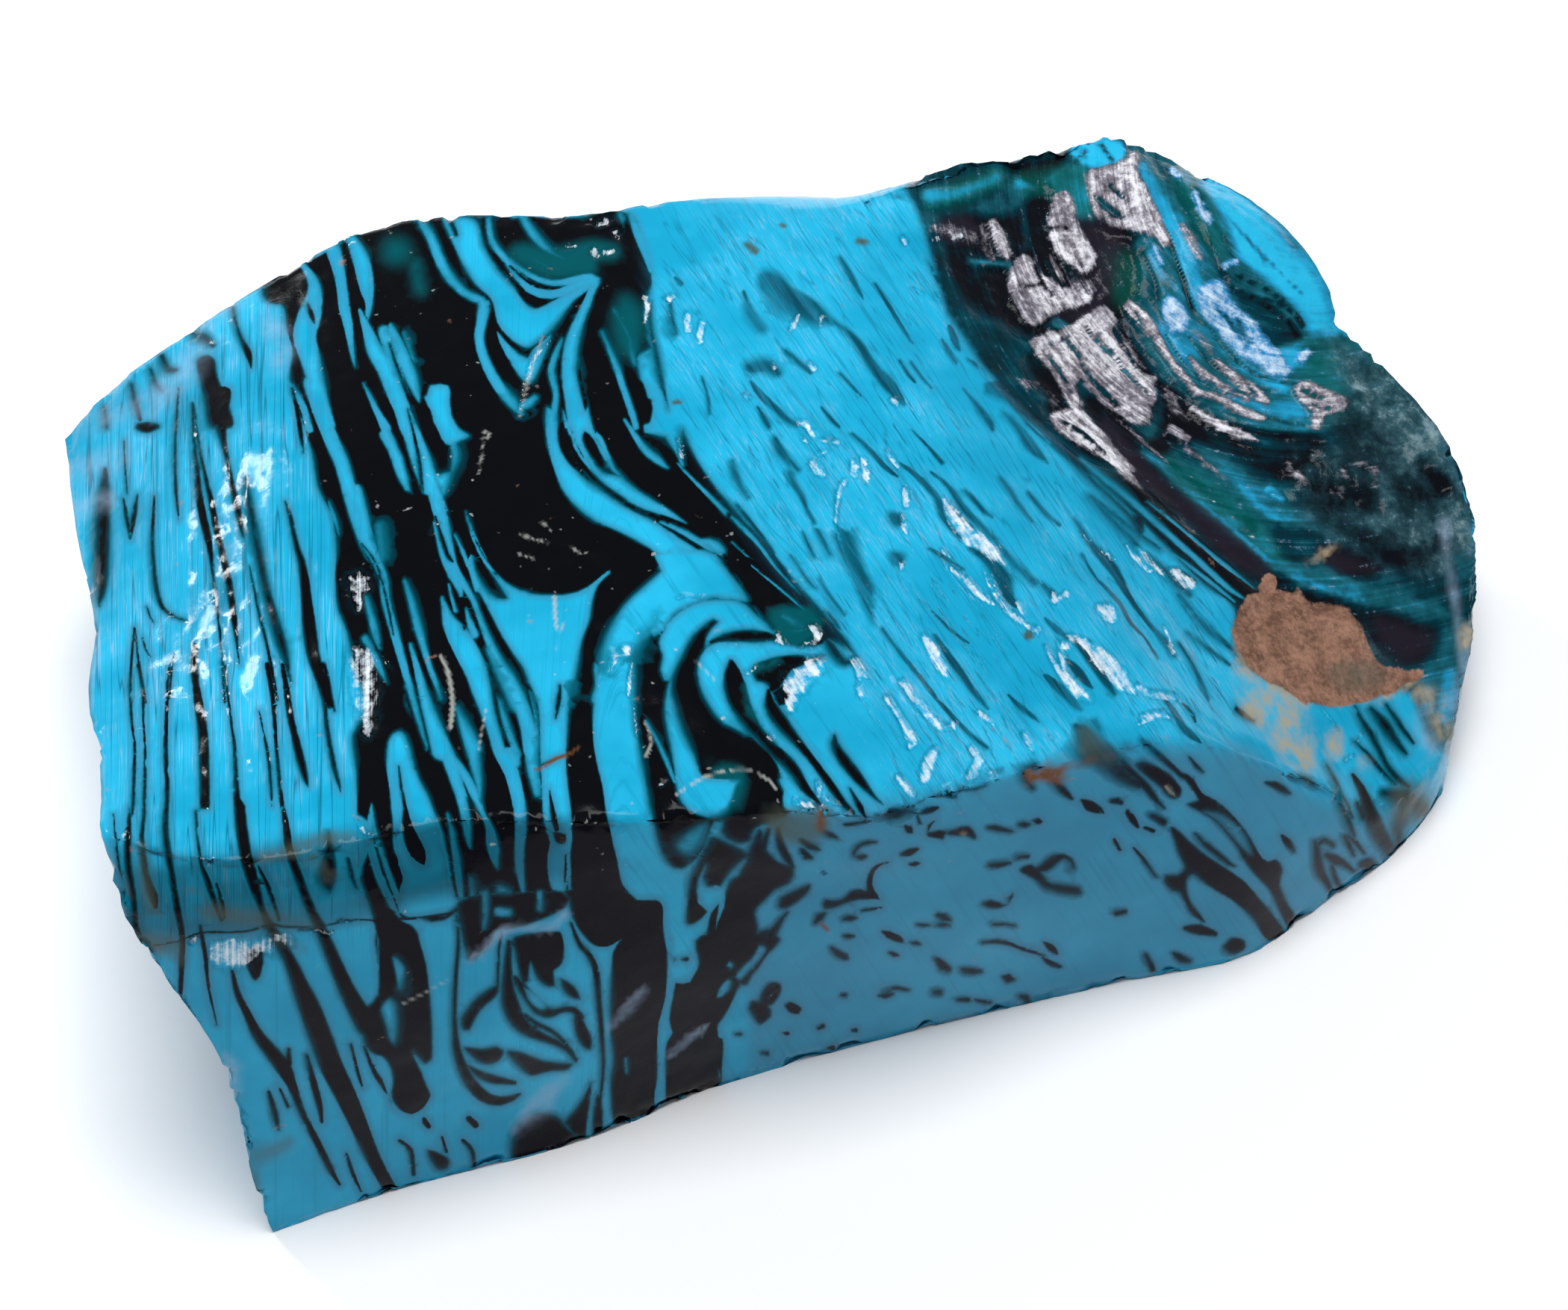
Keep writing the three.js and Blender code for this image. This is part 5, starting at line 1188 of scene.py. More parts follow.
# Outlines of the regions of the surface, in photo pixels.
BROKEN_END = (
    (1215, 246), (1300, 200), (1440, 170), (1560, 180), (1700, 260), (1800, 420), (1870, 470), (1950, 590),
    (2000, 760), (2000, 930), (1960, 1020), (1915, 1000), (1890, 930), (1760, 880), (1690, 795), (1640, 750),
    (1590, 705), (1545, 662), (1495, 632), (1445, 606), (1380, 560), (1315, 490), (1268, 420), (1240, 320),
)
RIBBED_END = (
    (1300, 290), (1440, 215), (1560, 220), (1650, 390), (1740, 470), (1830, 540), (1780, 600), (1700, 600),
    (1600, 640), (1480, 620), (1380, 540), (1330, 440),
)
STRIPED_LEFT = (
    (86, 560), (260, 440), (390, 370), (430, 620), (470, 900), (505, 1240), (200, 1270), (120, 900),
)
CRINKLED_LEFT = ((230, 680), (350, 690), (390, 1100), (300, 1180), (235, 1050))
STREAKED_MIDDLE = (
    (870, 290), (1215, 240), (1300, 450), (1530, 720), (1660, 830), (1640, 990), (1380, 1025), (1190, 1075),
    (1160, 960), (1160, 890), (1085, 800), (985, 670), (895, 520),
)
CRUMBLED_PART = (
    (1775, 455), (1850, 480), (1920, 540), (1975, 650), (1975, 740), (1950, 745), (1930, 780), (1860, 765),
    (1790, 735), (1740, 690), (1728, 605), (1795, 595), (1780, 560), (1800, 520),
)
SAND_PATCH = (
    (1650, 830), (1700, 795), (1760, 825), (1825, 825), (1850, 880), (1895, 900), (1820, 940), (1730, 925),
)
FRONT_PLANE = (
    (960, 1110), (1240, 1065), (1480, 1000), (1660, 1000), (1800, 1090), (1900, 1150), (1730, 1270),
    (1400, 1350), (1000, 1450), (990, 1200),
)
# Painted shade: the bevelled band at the front left is coloured darker teal, as it turns further from the
# light than the top.
SHADED_LEDGE = (
    (150, 1165), (300, 1142), (400, 1120), (520, 1102), (640, 1092), (760, 1102), (760, 1172), (600, 1200),
    (450, 1234), (300, 1252), (170, 1262),
)
BLACK_TOP = (
    (352, 386), (500, 300), (830, 282), (880, 520), (1075, 789), (1170, 930), (1010, 1110), (800, 1180),
    (504, 1248), (478, 1062), (450, 770), (404, 561),
)


# --- Numbers from position ------------------------------------------------------------------------

# Large primes that scatter the numbers of neighbouring cells.
CELL_PRIMES = (73856093, 19349663, 83492791)
SEED_PRIME = 2654435761
HASH_STIR = 1274126177
HASH_MASK = 0xFFFFFF
OCTAVE_FINENESS = 2.03
OCTAVE_STRENGTH = 0.55
FLAT_LEVEL = 0.37
VERY_FAR = 1e9
TINY = 1e-12


def smooth_step(value, low, high):
    t = np.clip((value - low) / (high - low), 0.0, 1.0)
    return t * t * (3.0 - 2.0 * t)


def lattice_value(cell, seed):
    """A fixed random number from -1 to 1 for each whole-numbered cell."""
    number = seed * SEED_PRIME
    for whole, prime in zip(cell.astype(np.int64).T, CELL_PRIMES):
        number = number ^ (whole * prime)
    number = (number ^ (number >> 13)) * HASH_STIR
    number = (number ^ (number >> 16)) & HASH_MASK
    return 2.0 * number / (HASH_MASK - 1) - 1.0


def noise(places, seed):
    """Smooth noise, about -1 to 1, with features one unit across."""
    cell = np.floor(places)
    part = places - cell
    fade = part * part * (3.0 - 2.0 * part)
    total = np.zeros(len(places))
    for corner in range(8):
        step = np.array([corner & 1, (corner >> 1) & 1, (corner >> 2) & 1])
        weight = np.prod(np.where(step, fade, 1.0 - fade), axis=1)
        total += weight * lattice_value(cell + step, seed)
    return total


def rough_noise(places, seed, octaves=3):
    """Noise with finer and finer detail added."""
    total = np.zeros(len(places))
    for octave in range(octaves):
        total += noise(places * OCTAVE_FINENESS ** octave, seed + octave) * OCTAVE_STRENGTH ** octave
    return total


def flat_noise(across, along, seed, octaves=2):
    """Rough noise over a flat pattern."""
    return rough_noise(np.stack([across, along, np.full(len(across), FLAT_LEVEL)], axis=1), seed, octaves)


# --- The camera and the traced marks --------------------------------------------------------------

def camera_axes():
    """The camera's right, up and backward directions."""
    azimuth = math.radians(CAMERA_AZIMUTH)
    elevation = math.radians(CAMERA_ELEVATION)
    level = math.cos(elevation)
    back = np.array([math.sin(azimuth) * level, -math.cos(azimuth) * level, math.sin(elevation)])
    right = np.array([math.cos(azimuth), math.sin(azimuth), 0.0])
    up = np.cross(back, right)
    return right, up, back


def camera_place():
    return CAMERA_TARGET + camera_axes()[2] * CAMERA_DISTANCE


def to_pixels(points):
    """Where points of the stone fall in the photograph."""
    right, up, back = camera_axes()
    seen = points - camera_place()
    depth = -(seen @ back)
    x = PHOTO_WIDTH / 2 + FOCAL_PIXELS * (seen @ right) / depth
    y = PHOTO_HEIGHT / 2 - FOCAL_PIXELS * (seen @ up) / depth
    return np.stack([x, y], axis=1)


def read_marks(traced):
    """Turns the traced text into (kind, softness, points) with the points in photo pixels."""
    marks = []
    for view, text in traced:
        left, top, enlarged = VIEWS[view]
        for word in text.split():
            if word[0].isalpha():
                marks.append([word, None, []])
            elif marks[-1][1] is None:
                marks[-1][1] = float(word)
            else:
                numbers = [float(part) / enlarged for part in word.split(",")]
                marks[-1][2].append([left + numbers[0], top + numbers[1]] + numbers[2:])
    return [(kind, soft, np.array(points)) for kind, soft, points in marks]


def smooth_line(points, closed):
    """A curve through the points, cut into short steps."""
    if closed:
        padded = np.vstack([points[-1:], points, points[:2]])
    else:
        padded = np.vstack([2 * points[:1] - points[1:2], points, 2 * points[-1:] - points[-2:-1]])
    pieces = []
    for before, start, end, after in zip(padded[:-3], padded[1:-2], padded[2:-1], padded[3:]):
        count = max(1, int(math.ceil(np.hypot(*(end - start)[:2]) / LINE_STEP)))
        t = (np.arange(count) / count)[:, None]
        bend = 2 * before - 5 * start + 4 * end - after
        twist = 3 * start - before - 3 * end + after
        pieces.append(0.5 * (2 * start + (end - before) * t + bend * t ** 2 + twist * t ** 3))
    pieces.append(points[:1] if closed else points[-1:])
    return np.vstack(pieces)


def gap_to_step(places, start, end):
    """How far along a step each place lies, and its distance from the step."""
    run = (end - start)[:2]
    along = np.clip(((places - start[:2]) @ run) / max(run @ run, TINY), 0.0, 1.0)
    gap = places - (start[:2] + along[:, None] * run)
    return along, np.hypot(gap[:, 0], gap[:, 1])


def ribbon_distance(places, line):
    """Distance outside a ribbon of changing width, less than nothing inside it."""
    nearest = np.full(len(places), VERY_FAR)
    for start, end in zip(line[:-1], line[1:]):
        along, gap = gap_to_step(places, start, end)
        width = np.maximum(start[2] + (end[2] - start[2]) * along, 0.0)
        nearest = np.minimum(nearest, gap - width / 2)
    return nearest


def patch_distance(places, line):
    """Distance outside a closed outline, less than nothing inside it."""
    nearest = np.full(len(places), VERY_FAR)
    inside = np.zeros(len(places), bool)
    for start, end in zip(line[:-1], line[1:]):
        nearest = np.minimum(nearest, gap_to_step(places, start, end)[1])
        if end[1] != start[1]:
            level = (start[1] > places[:, 1]) != (end[1] > places[:, 1])
            crossing = start[0] + (places[:, 1] - start[1]) * (end[0] - start[0]) / (end[1] - start[1])
            inside ^= level & (places[:, 0] < crossing)
    return np.where(inside, -nearest, nearest)


def mark_distance(places, kind, points, reach):
    """Which places are near a mark, and their distances from it."""
    patch = kind.endswith("_patch")
    line = smooth_line(points, patch)
    margin = reach if patch else reach + line[:, 2].max() / 2
    low = line[:, :2].min(axis=0) - margin
    high = line[:, :2].max(axis=0) + margin
    near = np.where(((places > low) & (places < high)).all(axis=1))[0]
    measure = patch_distance if patch else ribbon_distance
    return near, measure(places[near], line) if len(near) else np.zeros(0)


def ink_at(places, marks):
    """Distance to the nearest dark edge in pixels, less than nothing in the dark, and its softness."""
    ink = np.full(len(places), INK_REACH)
    softness = np.full(len(places), PLAIN_SOFTNESS)
    for kind, soft, points in marks:
        near, distance = mark_distance(places, kind, points, INK_REACH)
        distance = np.clip(distance, -INK_REACH, INK_REACH)
        if kind.startswith("dark"):
            changed = distance < ink[near]
            ink[near] = np.where(changed, distance, ink[near])
        else:
            changed = -distance > ink[near]
            ink[near] = np.where(changed, -distance, ink[near])
        softness[near] = np.where(changed, soft, softness[near])
    return ink, softness


def stain_at(places, marks, name):
    """How strongly a named surface mark lies on each place, 0 to 1."""
    strength = np.zeros(len(places))
    for kind, soft, points in marks:
        if kind.replace("_patch", "") == name:
            near, distance = mark_distance(places, kind, points, 2.0 * soft)
            strength[near] = np.maximum(strength[near], smooth_step(-distance, -soft, soft))
    return strength


TONES = {"night": 0.0, "deep": 0.28, "teal": 0.5, "sky": 0.75, "bright": 1.0}
SILKS = {"gap": 0.0, "grey": 0.5, "silk": 1.0}
FROSTS = {"thaw": 0.0, "frost": 1.0}


def painted(places, marks, values, ground):
    """A layer painted mark over mark, each mark with the value its kind has."""
    layer = np.full(len(places), ground)
    for kind, soft, points in marks:
        value = values.get(kind.replace("_patch", ""))
        if value is not None:
            near, distance = mark_distance(places, kind, points, 2.0 * soft)
            layer[near] += (value - layer[near]) * smooth_step(-distance, -soft, soft)
    return layer


def region(places, outline, soft):
    """1 inside an outline given in photo pixels, 0 outside, fading over the softness."""
    closed = np.array(outline + outline[:1], float)
    return smooth_step(-patch_distance(places, closed), -soft, soft)


# --- The fine mesh --------------------------------------------------------------------------------

class Surface:
    """A closed triangle mesh in millimetres with its sharp edges, held as arrays."""

    def __init__(self, mesh):
        count = len(mesh.vertices)
        points = np.empty(count * 3)
        mesh.vertices.foreach_get("co", points)
        points = points.reshape(-1, 3) / MM
        mesh.calc_loop_triangles()
        faces = np.empty(len(mesh.loop_triangles) * 3, np.int64)
        mesh.loop_triangles.foreach_get("vertices", faces)
        merged, place = np.unique(np.round(points, MERGE_DECIMALS), axis=0, return_inverse=True)
        self.points = merged
        self.faces = place.reshape(-1)[faces].reshape(-1, 3)
        self.sharp = self.find_sharp_edges()

    def edges(self):
        """Every edge once, and for each face the numbers of its three edges."""
        pairs = np.stack([self.faces, np.roll(self.faces, -1, axis=1)], axis=2).reshape(-1, 2)
        pairs = np.sort(pairs, axis=1)
        keys = pairs[:, 0] * len(self.points) + pairs[:, 1]
        first, number = np.unique(keys, return_index=True, return_inverse=True)[1:]
        return pairs[first], number.reshape(-1, 3)

    def face_normals(self):
        """Normals of the faces, as long as twice their areas."""
        a, b, c = (self.points[self.faces[:, k]] for k in range(3))
        return np.cross(b - a, c - a)

    def normals(self):
        """Unit normals of the vertices."""
        total = np.zeros_like(self.points)
        facing = self.face_normals()
        for k in range(3):
            np.add.at(total, self.faces[:, k], facing)
        return total / np.maximum(np.linalg.norm(total, axis=1, keepdims=True), TINY)

    def find_sharp_edges(self):
        """The edges where two faces meet at more than the sharp angle."""
        edges, of_face = self.edges()
        facing = self.face_normals()
        facing /= np.linalg.norm(facing, axis=1, keepdims=True)
        order = np.argsort(of_face.ravel(), kind="stable")
        owner = order // 3
        turn = np.einsum("ij,ij->i", facing[owner[0::2]], facing[owner[1::2]])
        return edges[turn < math.cos(math.radians(SHARP_ANGLE))]

    def sharp_flags(self, edges):
        """Which of the edges are sharp ones."""
        scale = len(self.points)
        mine = np.sort(self.sharp, axis=1)
        return np.isin(edges[:, 0] * scale + edges[:, 1], mine[:, 0] * scale + mine[:, 1])

    def relax(self, rounds):
        """Rounds the flat facets off while the sharp edges keep their line."""
        edges = self.edges()[0]
        sharp = self.sharp_flags(edges)
        count = len(self.points)
        sharp_count = np.bincount(edges[sharp].ravel(), minlength=count)
        on_edge = sharp_count > 0
        corner = (sharp_count == 1) | (sharp_count > 2)
        used = edges[sharp | ~(on_edge[edges[:, 0]] & on_edge[edges[:, 1]])]
        start = np.concatenate([used[:, 0], used[:, 1]])
        end = np.concatenate([used[:, 1], used[:, 0]])
        follows = ~on_edge[start] | on_edge[end]
        start, end = start[follows], end[follows]
        neighbours = np.maximum(np.bincount(start, minlength=count), 1)
        for _ in range(rounds):
            total = [np.bincount(start, self.points[end, axis], minlength=count) for axis in range(3)]
            middle = np.stack(total, axis=1) / neighbours[:, None]
            move = RELAXING_SHARE * (middle - self.points)
            move[corner | (neighbours < 2)] = 0.0
            self.points = self.points + move

    def split(self, chosen, edges, of_face):
        """Cuts the chosen edges in two and the faces with them."""
        number = np.full(len(edges), -1)
        number[chosen] = len(self.points) + np.arange(chosen.sum())
        flags = self.sharp_flags(edges)
        halves = edges[chosen & flags]
        middles = number[chosen & flags]
        kept = edges[flags & ~chosen]
        self.points = np.vstack([self.points, self.points[edges[chosen]].mean(axis=1)])
        self.sharp = np.vstack([
            kept,
            np.stack([halves[:, 0], middles], axis=1),
            np.stack([halves[:, 1], middles], axis=1),
        ])
        middle = number[of_face]
        cuts = (middle >= 0).sum(axis=1)
        self.faces = np.vstack([
            self.faces[cuts == 0],
            self.cut_once(self.faces[cuts == 1], middle[cuts == 1]),
            self.cut_twice(self.faces[cuts == 2], middle[cuts == 2]),
            self.cut_thrice(self.faces[cuts == 3], middle[cuts == 3]),
        ])

    def turned(self, faces, middle, first):
        """The faces and their middles turned so that the side numbered first comes first."""
        columns = (np.arange(3)[None, :] + first[:, None]) % 3
        rows = np.arange(len(faces))[:, None]
        return faces[rows, columns], middle[rows, columns]

    def cut_once(self, faces, middle):
        """Two faces from each face that has one cut side."""
        faces, middle = self.turned(faces, middle, np.argmax(middle >= 0, axis=1))
        a, b, c = faces.T
        m = middle[:, 0]
        return np.concatenate([np.stack([a, m, c], axis=1), np.stack([m, b, c], axis=1)])

    def cut_twice(self, faces, middle):
        """Three faces from each face that has two cut sides, split along the shorter way."""
        uncut = np.argmax(middle < 0, axis=1)
        faces, middle = self.turned(faces, middle, (uncut + 1) % 3)
        a, b, c = faces.T
        m, n = middle[:, 0], middle[:, 1]
        first = np.linalg.norm(self.points[a] - self.points[n], axis=1)
        second = np.linalg.norm(self.points[m] - self.points[c], axis=1)
        short = (first < second)[:, None]
        one = np.where(short, np.stack([a, m, n], axis=1), np.stack([a, m, c], axis=1))
        two = np.where(short, np.stack([a, n, c], axis=1), np.stack([m, n, c], axis=1))
        return np.concatenate([np.stack([m, b, n], axis=1), one, two])

    def cut_thrice(self, faces, middle):
        """Four faces from each face that has three cut sides."""
        a, b, c = faces.T
        m, n, o = middle.T
        return np.concatenate([
            np.stack([a, m, o], axis=1),
            np.stack([m, b, n], axis=1),
            np.stack([o, n, c], axis=1),
            np.stack([m, n, o], axis=1),
        ])


def facing_camera(surface):
    """How squarely each vertex faces the photo's camera, 1 straight on and less than nothing hidden."""
    towards = camera_place() - surface.points
    towards /= np.linalg.norm(towards, axis=1, keepdims=True)
    return np.einsum("ij,ij->i", surface.normals(), towards)


def pattern_places(surface):
    """Where each vertex takes its marbling. The layers run on through the stone, so a hidden point
    takes them from the point in front of it, a little shifted by the folds inside."""
    places = to_pixels(surface.points)
    hidden = smooth_step(-facing_camera(surface), *HIDDEN_TURN)
    fold = surface.points / FOLD_SIZE
    shift = np.stack([rough_noise(fold, 41, 2), rough_noise(fold, 57, 2)], axis=1) * FOLD_SHIFT
    return places + shift * hidden[:, None]


def small_marks_near(places, marks):
    """Which places lie on or beside a small surface mark."""
    found = np.zeros(len(places), bool)
    for kind, _, points in marks:
        if kind in SMALL_MARKS and points[:, 2].max() < SMALL_MARK_WIDTH:
            near, distance = mark_distance(places, kind, points, 2.0 * SMALL_MARK_RIM)
            found[near] |= distance < SMALL_MARK_RIM
    return found


def spacing_wanted(surface, places, marks):
    """The longest edge allowed at each vertex, for the sake of the relief."""
    spacing = np.full(len(places), OPEN_SPACING)
    rough = np.maximum(region(places, BROKEN_END, soft=4.0), region(places, SAND_PATCH, soft=20.0)) > 0.5
    spacing[rough] = RELIEF_SPACING
    spacing[region(places, RIBBED_END, soft=10.0) > 0.5] = RIB_SPACING
    spacing[small_marks_near(places, marks)] = MARK_SPACING
    spacing[facing_camera(surface) < NARROWEST_SEEN] = HIDDEN_SPACING
    spacing[surface.normals()[:, 2] < FACING_DOWN] = UNDER_SPACING
    return spacing


def edge_lengths(surface, edges):
    return np.linalg.norm(surface.points[edges[:, 0]] - surface.points[edges[:, 1]], axis=1)


def ink_errors(surface, edges, places, ink, marks):
    """For each edge, how badly a straight line between its ends shows the marbling at its middle, and
    the true distance to the marbling there."""
    ends = places[edges[:, 0]], places[edges[:, 1]]
    shift = 0.5 * sum(end - to_pixels(surface.points[edges[:, k]]) for k, end in enumerate(ends))
    middle = to_pixels(surface.points[edges].mean(axis=1)) + shift
    reach = np.hypot(*(ends[0] - ends[1]).T) + INK_SLACK
    start, end = ink[edges[:, 0]], ink[edges[:, 1]]
    crossed = (np.abs(start) + np.abs(end) < reach) & (edge_lengths(surface, edges) > FINEST_SPACING)
    crossed &= region(middle, BROKEN_END, soft=4.0) < 0.5
    straight = 0.5 * (start + end)
    true = straight.copy()
    true[crossed] = ink_at(middle[crossed], marks)[0]
    error = np.abs(true - straight) / (INK_TOLERANCE + INK_TOLERANCE_GROWTH * np.abs(true))
    return np.where(crossed, error, 0.0), true


def fine_surface(cad_mesh, marbling, marks):
    """The CAD stone cut finer, most of all along the edges of the marbling."""
    surface = Surface(cad_mesh)
    for rounds in RELAXING_ROUNDS:
        edges, of_face = surface.edges()
        surface.split(edge_lengths(surface, edges) > FIRST_SPACING, edges, of_face)
        surface.relax(rounds)
    for _ in range(RELIEF_ROUNDS):
        edges, of_face = surface.edges()
        wanted = spacing_wanted(surface, pattern_places(surface), marks)
        allowed = np.minimum(wanted[edges[:, 0]], wanted[edges[:, 1]])
        surface.split(edge_lengths(surface, edges) > SPACING_SLACK * allowed, edges, of_face)
    places = pattern_places(surface)
    ink = ink_at(places, marbling)[0]
    for _ in range(INK_ROUNDS):
        edges, of_face = surface.edges()
        error, true = ink_errors(surface, edges, places, ink, marbling)
        unseen = (facing_camera(surface) < NARROWEST_SEEN)[edges].all(axis=1)
        error = np.where(unseen, HIDDEN_ERROR_SHARE * error, error)
        room = max((TRIANGLE_LIMIT - len(surface.faces)) // 2, 1)
        limit = max(1.0, np.sort(error)[-min(room, len(error))])
        chosen = error > limit
        if not chosen.any():
            break
        surface.split(chosen, edges, of_face)
        ink = np.concatenate([ink, true[chosen]])
        places = pattern_places(surface)
    return surface


# --- Relief: the shape of breaks, ribs, pits and grain, in millimetres along the normal ------------

# The line between the polished middle and the broken end, and the arcs of the end's layers.
BREAK_ANGLE = 56.0
BREAK_START = np.array([1240.0, 300.0])
SWIRL_CENTRE = np.array([1751.0, 212.0])
SWIRL_RADIUS = 300.0

# Heights in millimetres.
SILK_HEIGHT = 0.24
SILK_RIDGES = 0.08
SILK_BEADS = 0.06
FROST_HEIGHT = 0.16
FROST_BEADS = 0.05
HOLLOW_DEPTH = 0.3
HOLLOW_TONE = 0.6
CRUMBS = 0.16
CRUMB_GRAIN = 0.05
END_SUNK = 0.42
END_RIDGES = 0.03
END_LUMPS = 0.1
END_GRAIN = 0.03
STRIPE_RIDGES = 0.05
STRIPE_CRINKLES = 0.05
STREAK_RIBS = 0.05
STREAK_SWELLS = 0.1
PIT_RIM = 0.1
PIT_DEPTH = 0.16
SAND_SUNK = 0.15
SAND_GRAIN = 0.05
OPEN_GRAIN = 0.035
PLANE_CALM = 0.02
HIDDEN_LUMPS = 0.22
HIDDEN_GRAIN = 0.05
CHIP_LEAST = 0.05
CHIP_DEPTH = 0.34
CHIP_REACH = 1.1
CHIP_ROUNDS = 14
FAR_AWAY = 9.0


def bumps(points, size, seed, octaves):
    """Rough noise with features of a size in millimetres."""
    return rough_noise(points / size, seed, octaves)


def ribs(across, along, width, length, seed, octaves=2):
    """Rough noise drawn out along one direction, with features sized in photo pixels."""
    return flat_noise(across / width, along / length, seed, octaves)


def ridged(value):
    """Turns the middle of a noise into sharp crests."""
    return 1.0 - 2.0 * np.abs(value)


def along_break(places):
    """Pixels across and along the break line between the polished middle and the broken end."""
    angle = math.radians(BREAK_ANGLE)
    x, y = (places - BREAK_START).T
    return x * math.sin(angle) - y * math.cos(angle), x * math.cos(angle) + y * math.sin(angle)


def swirl_places(places):
    """Pixels across and along the arcs in which the broken end is layered."""
    x, y = (places - SWIRL_CENTRE).T
    return np.hypot(x, y), SWIRL_RADIUS * np.arctan2(y, -x)


def end_relief(places, points, layers):
    """All the relief of the broken end: silky ribs stand up and dark hollows lie deep."""
    across, along = swirl_places(places)
    grain = bumps(points, size=0.45, seed=31, octaves=3)
    lumps = bumps(points, size=2.4, seed=37, octaves=2)
    rubble = bumps(points, size=1.1, seed=39, octaves=3)
    ridges = ridged(ribs(across, along, width=15.0, length=120.0, seed=29))
    beads = ridged(ribs(across, along, width=17.0, length=13.0, seed=33))
    silk = layers["silk"] * (SILK_HEIGHT + SILK_RIDGES * ridges + SILK_BEADS * beads)
    frost = layers["frost"] * (FROST_HEIGHT + FROST_BEADS * beads)
    hollows = HOLLOW_DEPTH * smooth_step(layers["tone"], 0.0, HOLLOW_TONE)
    crumbs = region(places, CRUMBLED_PART, soft=22.0) * (CRUMBS * rubble + CRUMB_GRAIN * grain)
    ground = END_RIDGES * ridges + END_LUMPS * lumps + END_GRAIN * grain - END_SUNK
    return np.maximum(silk, frost) + hollows + crumbs + ground


def stripe_relief(places):
    """Low ridges that run with the stripes at the left, and crinkles across them."""
    x, y = places.T
    ridges = ribs(x, y, width=11.0, length=150.0, seed=43)
    crinkles = ridged(ribs(x, y, width=38.0, length=7.5, seed=47))
    crinkled = 0.25 + region(places, CRINKLED_LEFT, soft=40.0)
    return STRIPE_RIDGES * ridges + STRIPE_CRINKLES * crinkles * crinkled


def streak_relief(places):
    """Slight ribs and swells along the streaks of the middle."""
    across, along = along_break(places)
    fine = ribs(across, along, width=16.0, length=150.0, seed=53)
    broad = ribs(across, along, width=70.0, length=260.0, seed=59, octaves=1)
    return STREAK_RIBS * fine + STREAK_SWELLS * broad


def pit_relief(crushed):
    """Crushed spots are sunken and have a raised rim."""
    rim = 4.0 * crushed * (1.0 - crushed)
    return PIT_RIM * rim - PIT_DEPTH * crushed


def relief(surface, places, marks, layers):
    """Height to add along the normals."""
    crushed = stain_at(places, marks, "crushed")
    points = surface.points
    shown = smooth_step(facing_camera(surface), *RELIEF_FADE)
    end = region(places, BROKEN_END, soft=12.0) * shown
    left = region(places, STRIPED_LEFT, soft=30.0) * shown
    middle = region(places, STREAKED_MIDDLE, soft=20.0) * shown
    sand = region(places, SAND_PATCH, soft=10.0) * shown
    plane = region(places, FRONT_PLANE, soft=25.0) * shown
    broken_lumps = bumps(points, size=4.0, seed=71, octaves=3)
    broken_grain = bumps(points, size=0.8, seed=73, octaves=2)
    height = end * (1.0 - sand) * end_relief(places, points, layers)
    height += left * stripe_relief(places)
    height += middle * streak_relief(places)
    height += sand * (SAND_GRAIN * bumps(points, size=0.35, seed=61, octaves=2) - SAND_SUNK)
    height += shown * (1.0 - end) * pit_relief(crushed)
    height += (OPEN_GRAIN - PLANE_CALM * plane) * bumps(points, size=1.4, seed=67, octaves=3)
    height += (1.0 - shown) * (HIDDEN_LUMPS * broken_lumps + HIDDEN_GRAIN * broken_grain)
    return height


def edge_nearness(surface):
    """1 on the sharp edges of the stone, falling to 0 about a millimetre away."""
    edges = surface.edges()[0]
    length = edge_lengths(surface, edges)
    gap = np.full(len(surface.points), FAR_AWAY)
    gap[surface.sharp.ravel()] = 0.0
    for _ in range(CHIP_ROUNDS):
        np.minimum.at(gap, edges[:, 0], gap[edges[:, 1]] + length)
        np.minimum.at(gap, edges[:, 1], gap[edges[:, 0]] + length)
    return 1.0 - smooth_step(gap, 0.0, CHIP_REACH)


def chip_edges(surface):
    """Small chips along the sharp edges, always inward."""
    bite = smooth_step(bumps(surface.points, size=1.3, seed=83, octaves=3), 0.0, 0.9)
    return -edge_nearness(surface) * (CHIP_LEAST + CHIP_DEPTH * bite)


# --- Building the piece ---------------------------------------------------------------------------

MARK_NAMES = ("crushed", "green", "violet", "sand", "tan", "rust", "stain", "olive", "haze", "scratch")
DEEP_MARKS = ("green", "violet", "stain")
DEEP_MARK_LEAST = 0.35

# Photo pixels to one unit of the flow coordinates, across and along.
STRIPE_FLOW = np.array([9.0, 340.0])
BREAK_FLOW = np.array([9.0, 130.0])
SWIRL_FLOW = np.array([7.0, 110.0])
STRIPES_END = 560.0
BREAK_BEGINS = 840.0
FLOW_DEPTH = 40.0

# How soft the edges of the black bands are: softer on the right of a band, on streaks and in front.
SIDE_STEP = np.array([3.0, 0.0])
SIDE_SLOPE = (-1.0, 3.0)
LEFT_SOFTNESS = 0.8
RIGHT_SOFTNESS = 0.9
STREAKED_SOFTNESS = 1.2
PLANE_SOFTNESS = 1.0
STREAKED_PALENESS = 0.4

# Steep faces below these pixel rows get painted shade like the front plane's, less strongly.
STEEP_TURN = (-0.75, -0.35)
STEEP_ROWS = (1050.0, 1150.0)
STEEP_SHADE = 0.45


def add_numbers(mesh, name, values):
    """Gives each vertex a number that the material can read by name."""
    data = mesh.attributes.new(name, "FLOAT", "POINT").data
    data.foreach_set("value", values.astype(np.float32))


def add_vectors(mesh, name, values):
    data = mesh.attributes.new(name, "FLOAT_VECTOR", "POINT").data
    data.foreach_set("vector", values.astype(np.float32).ravel())


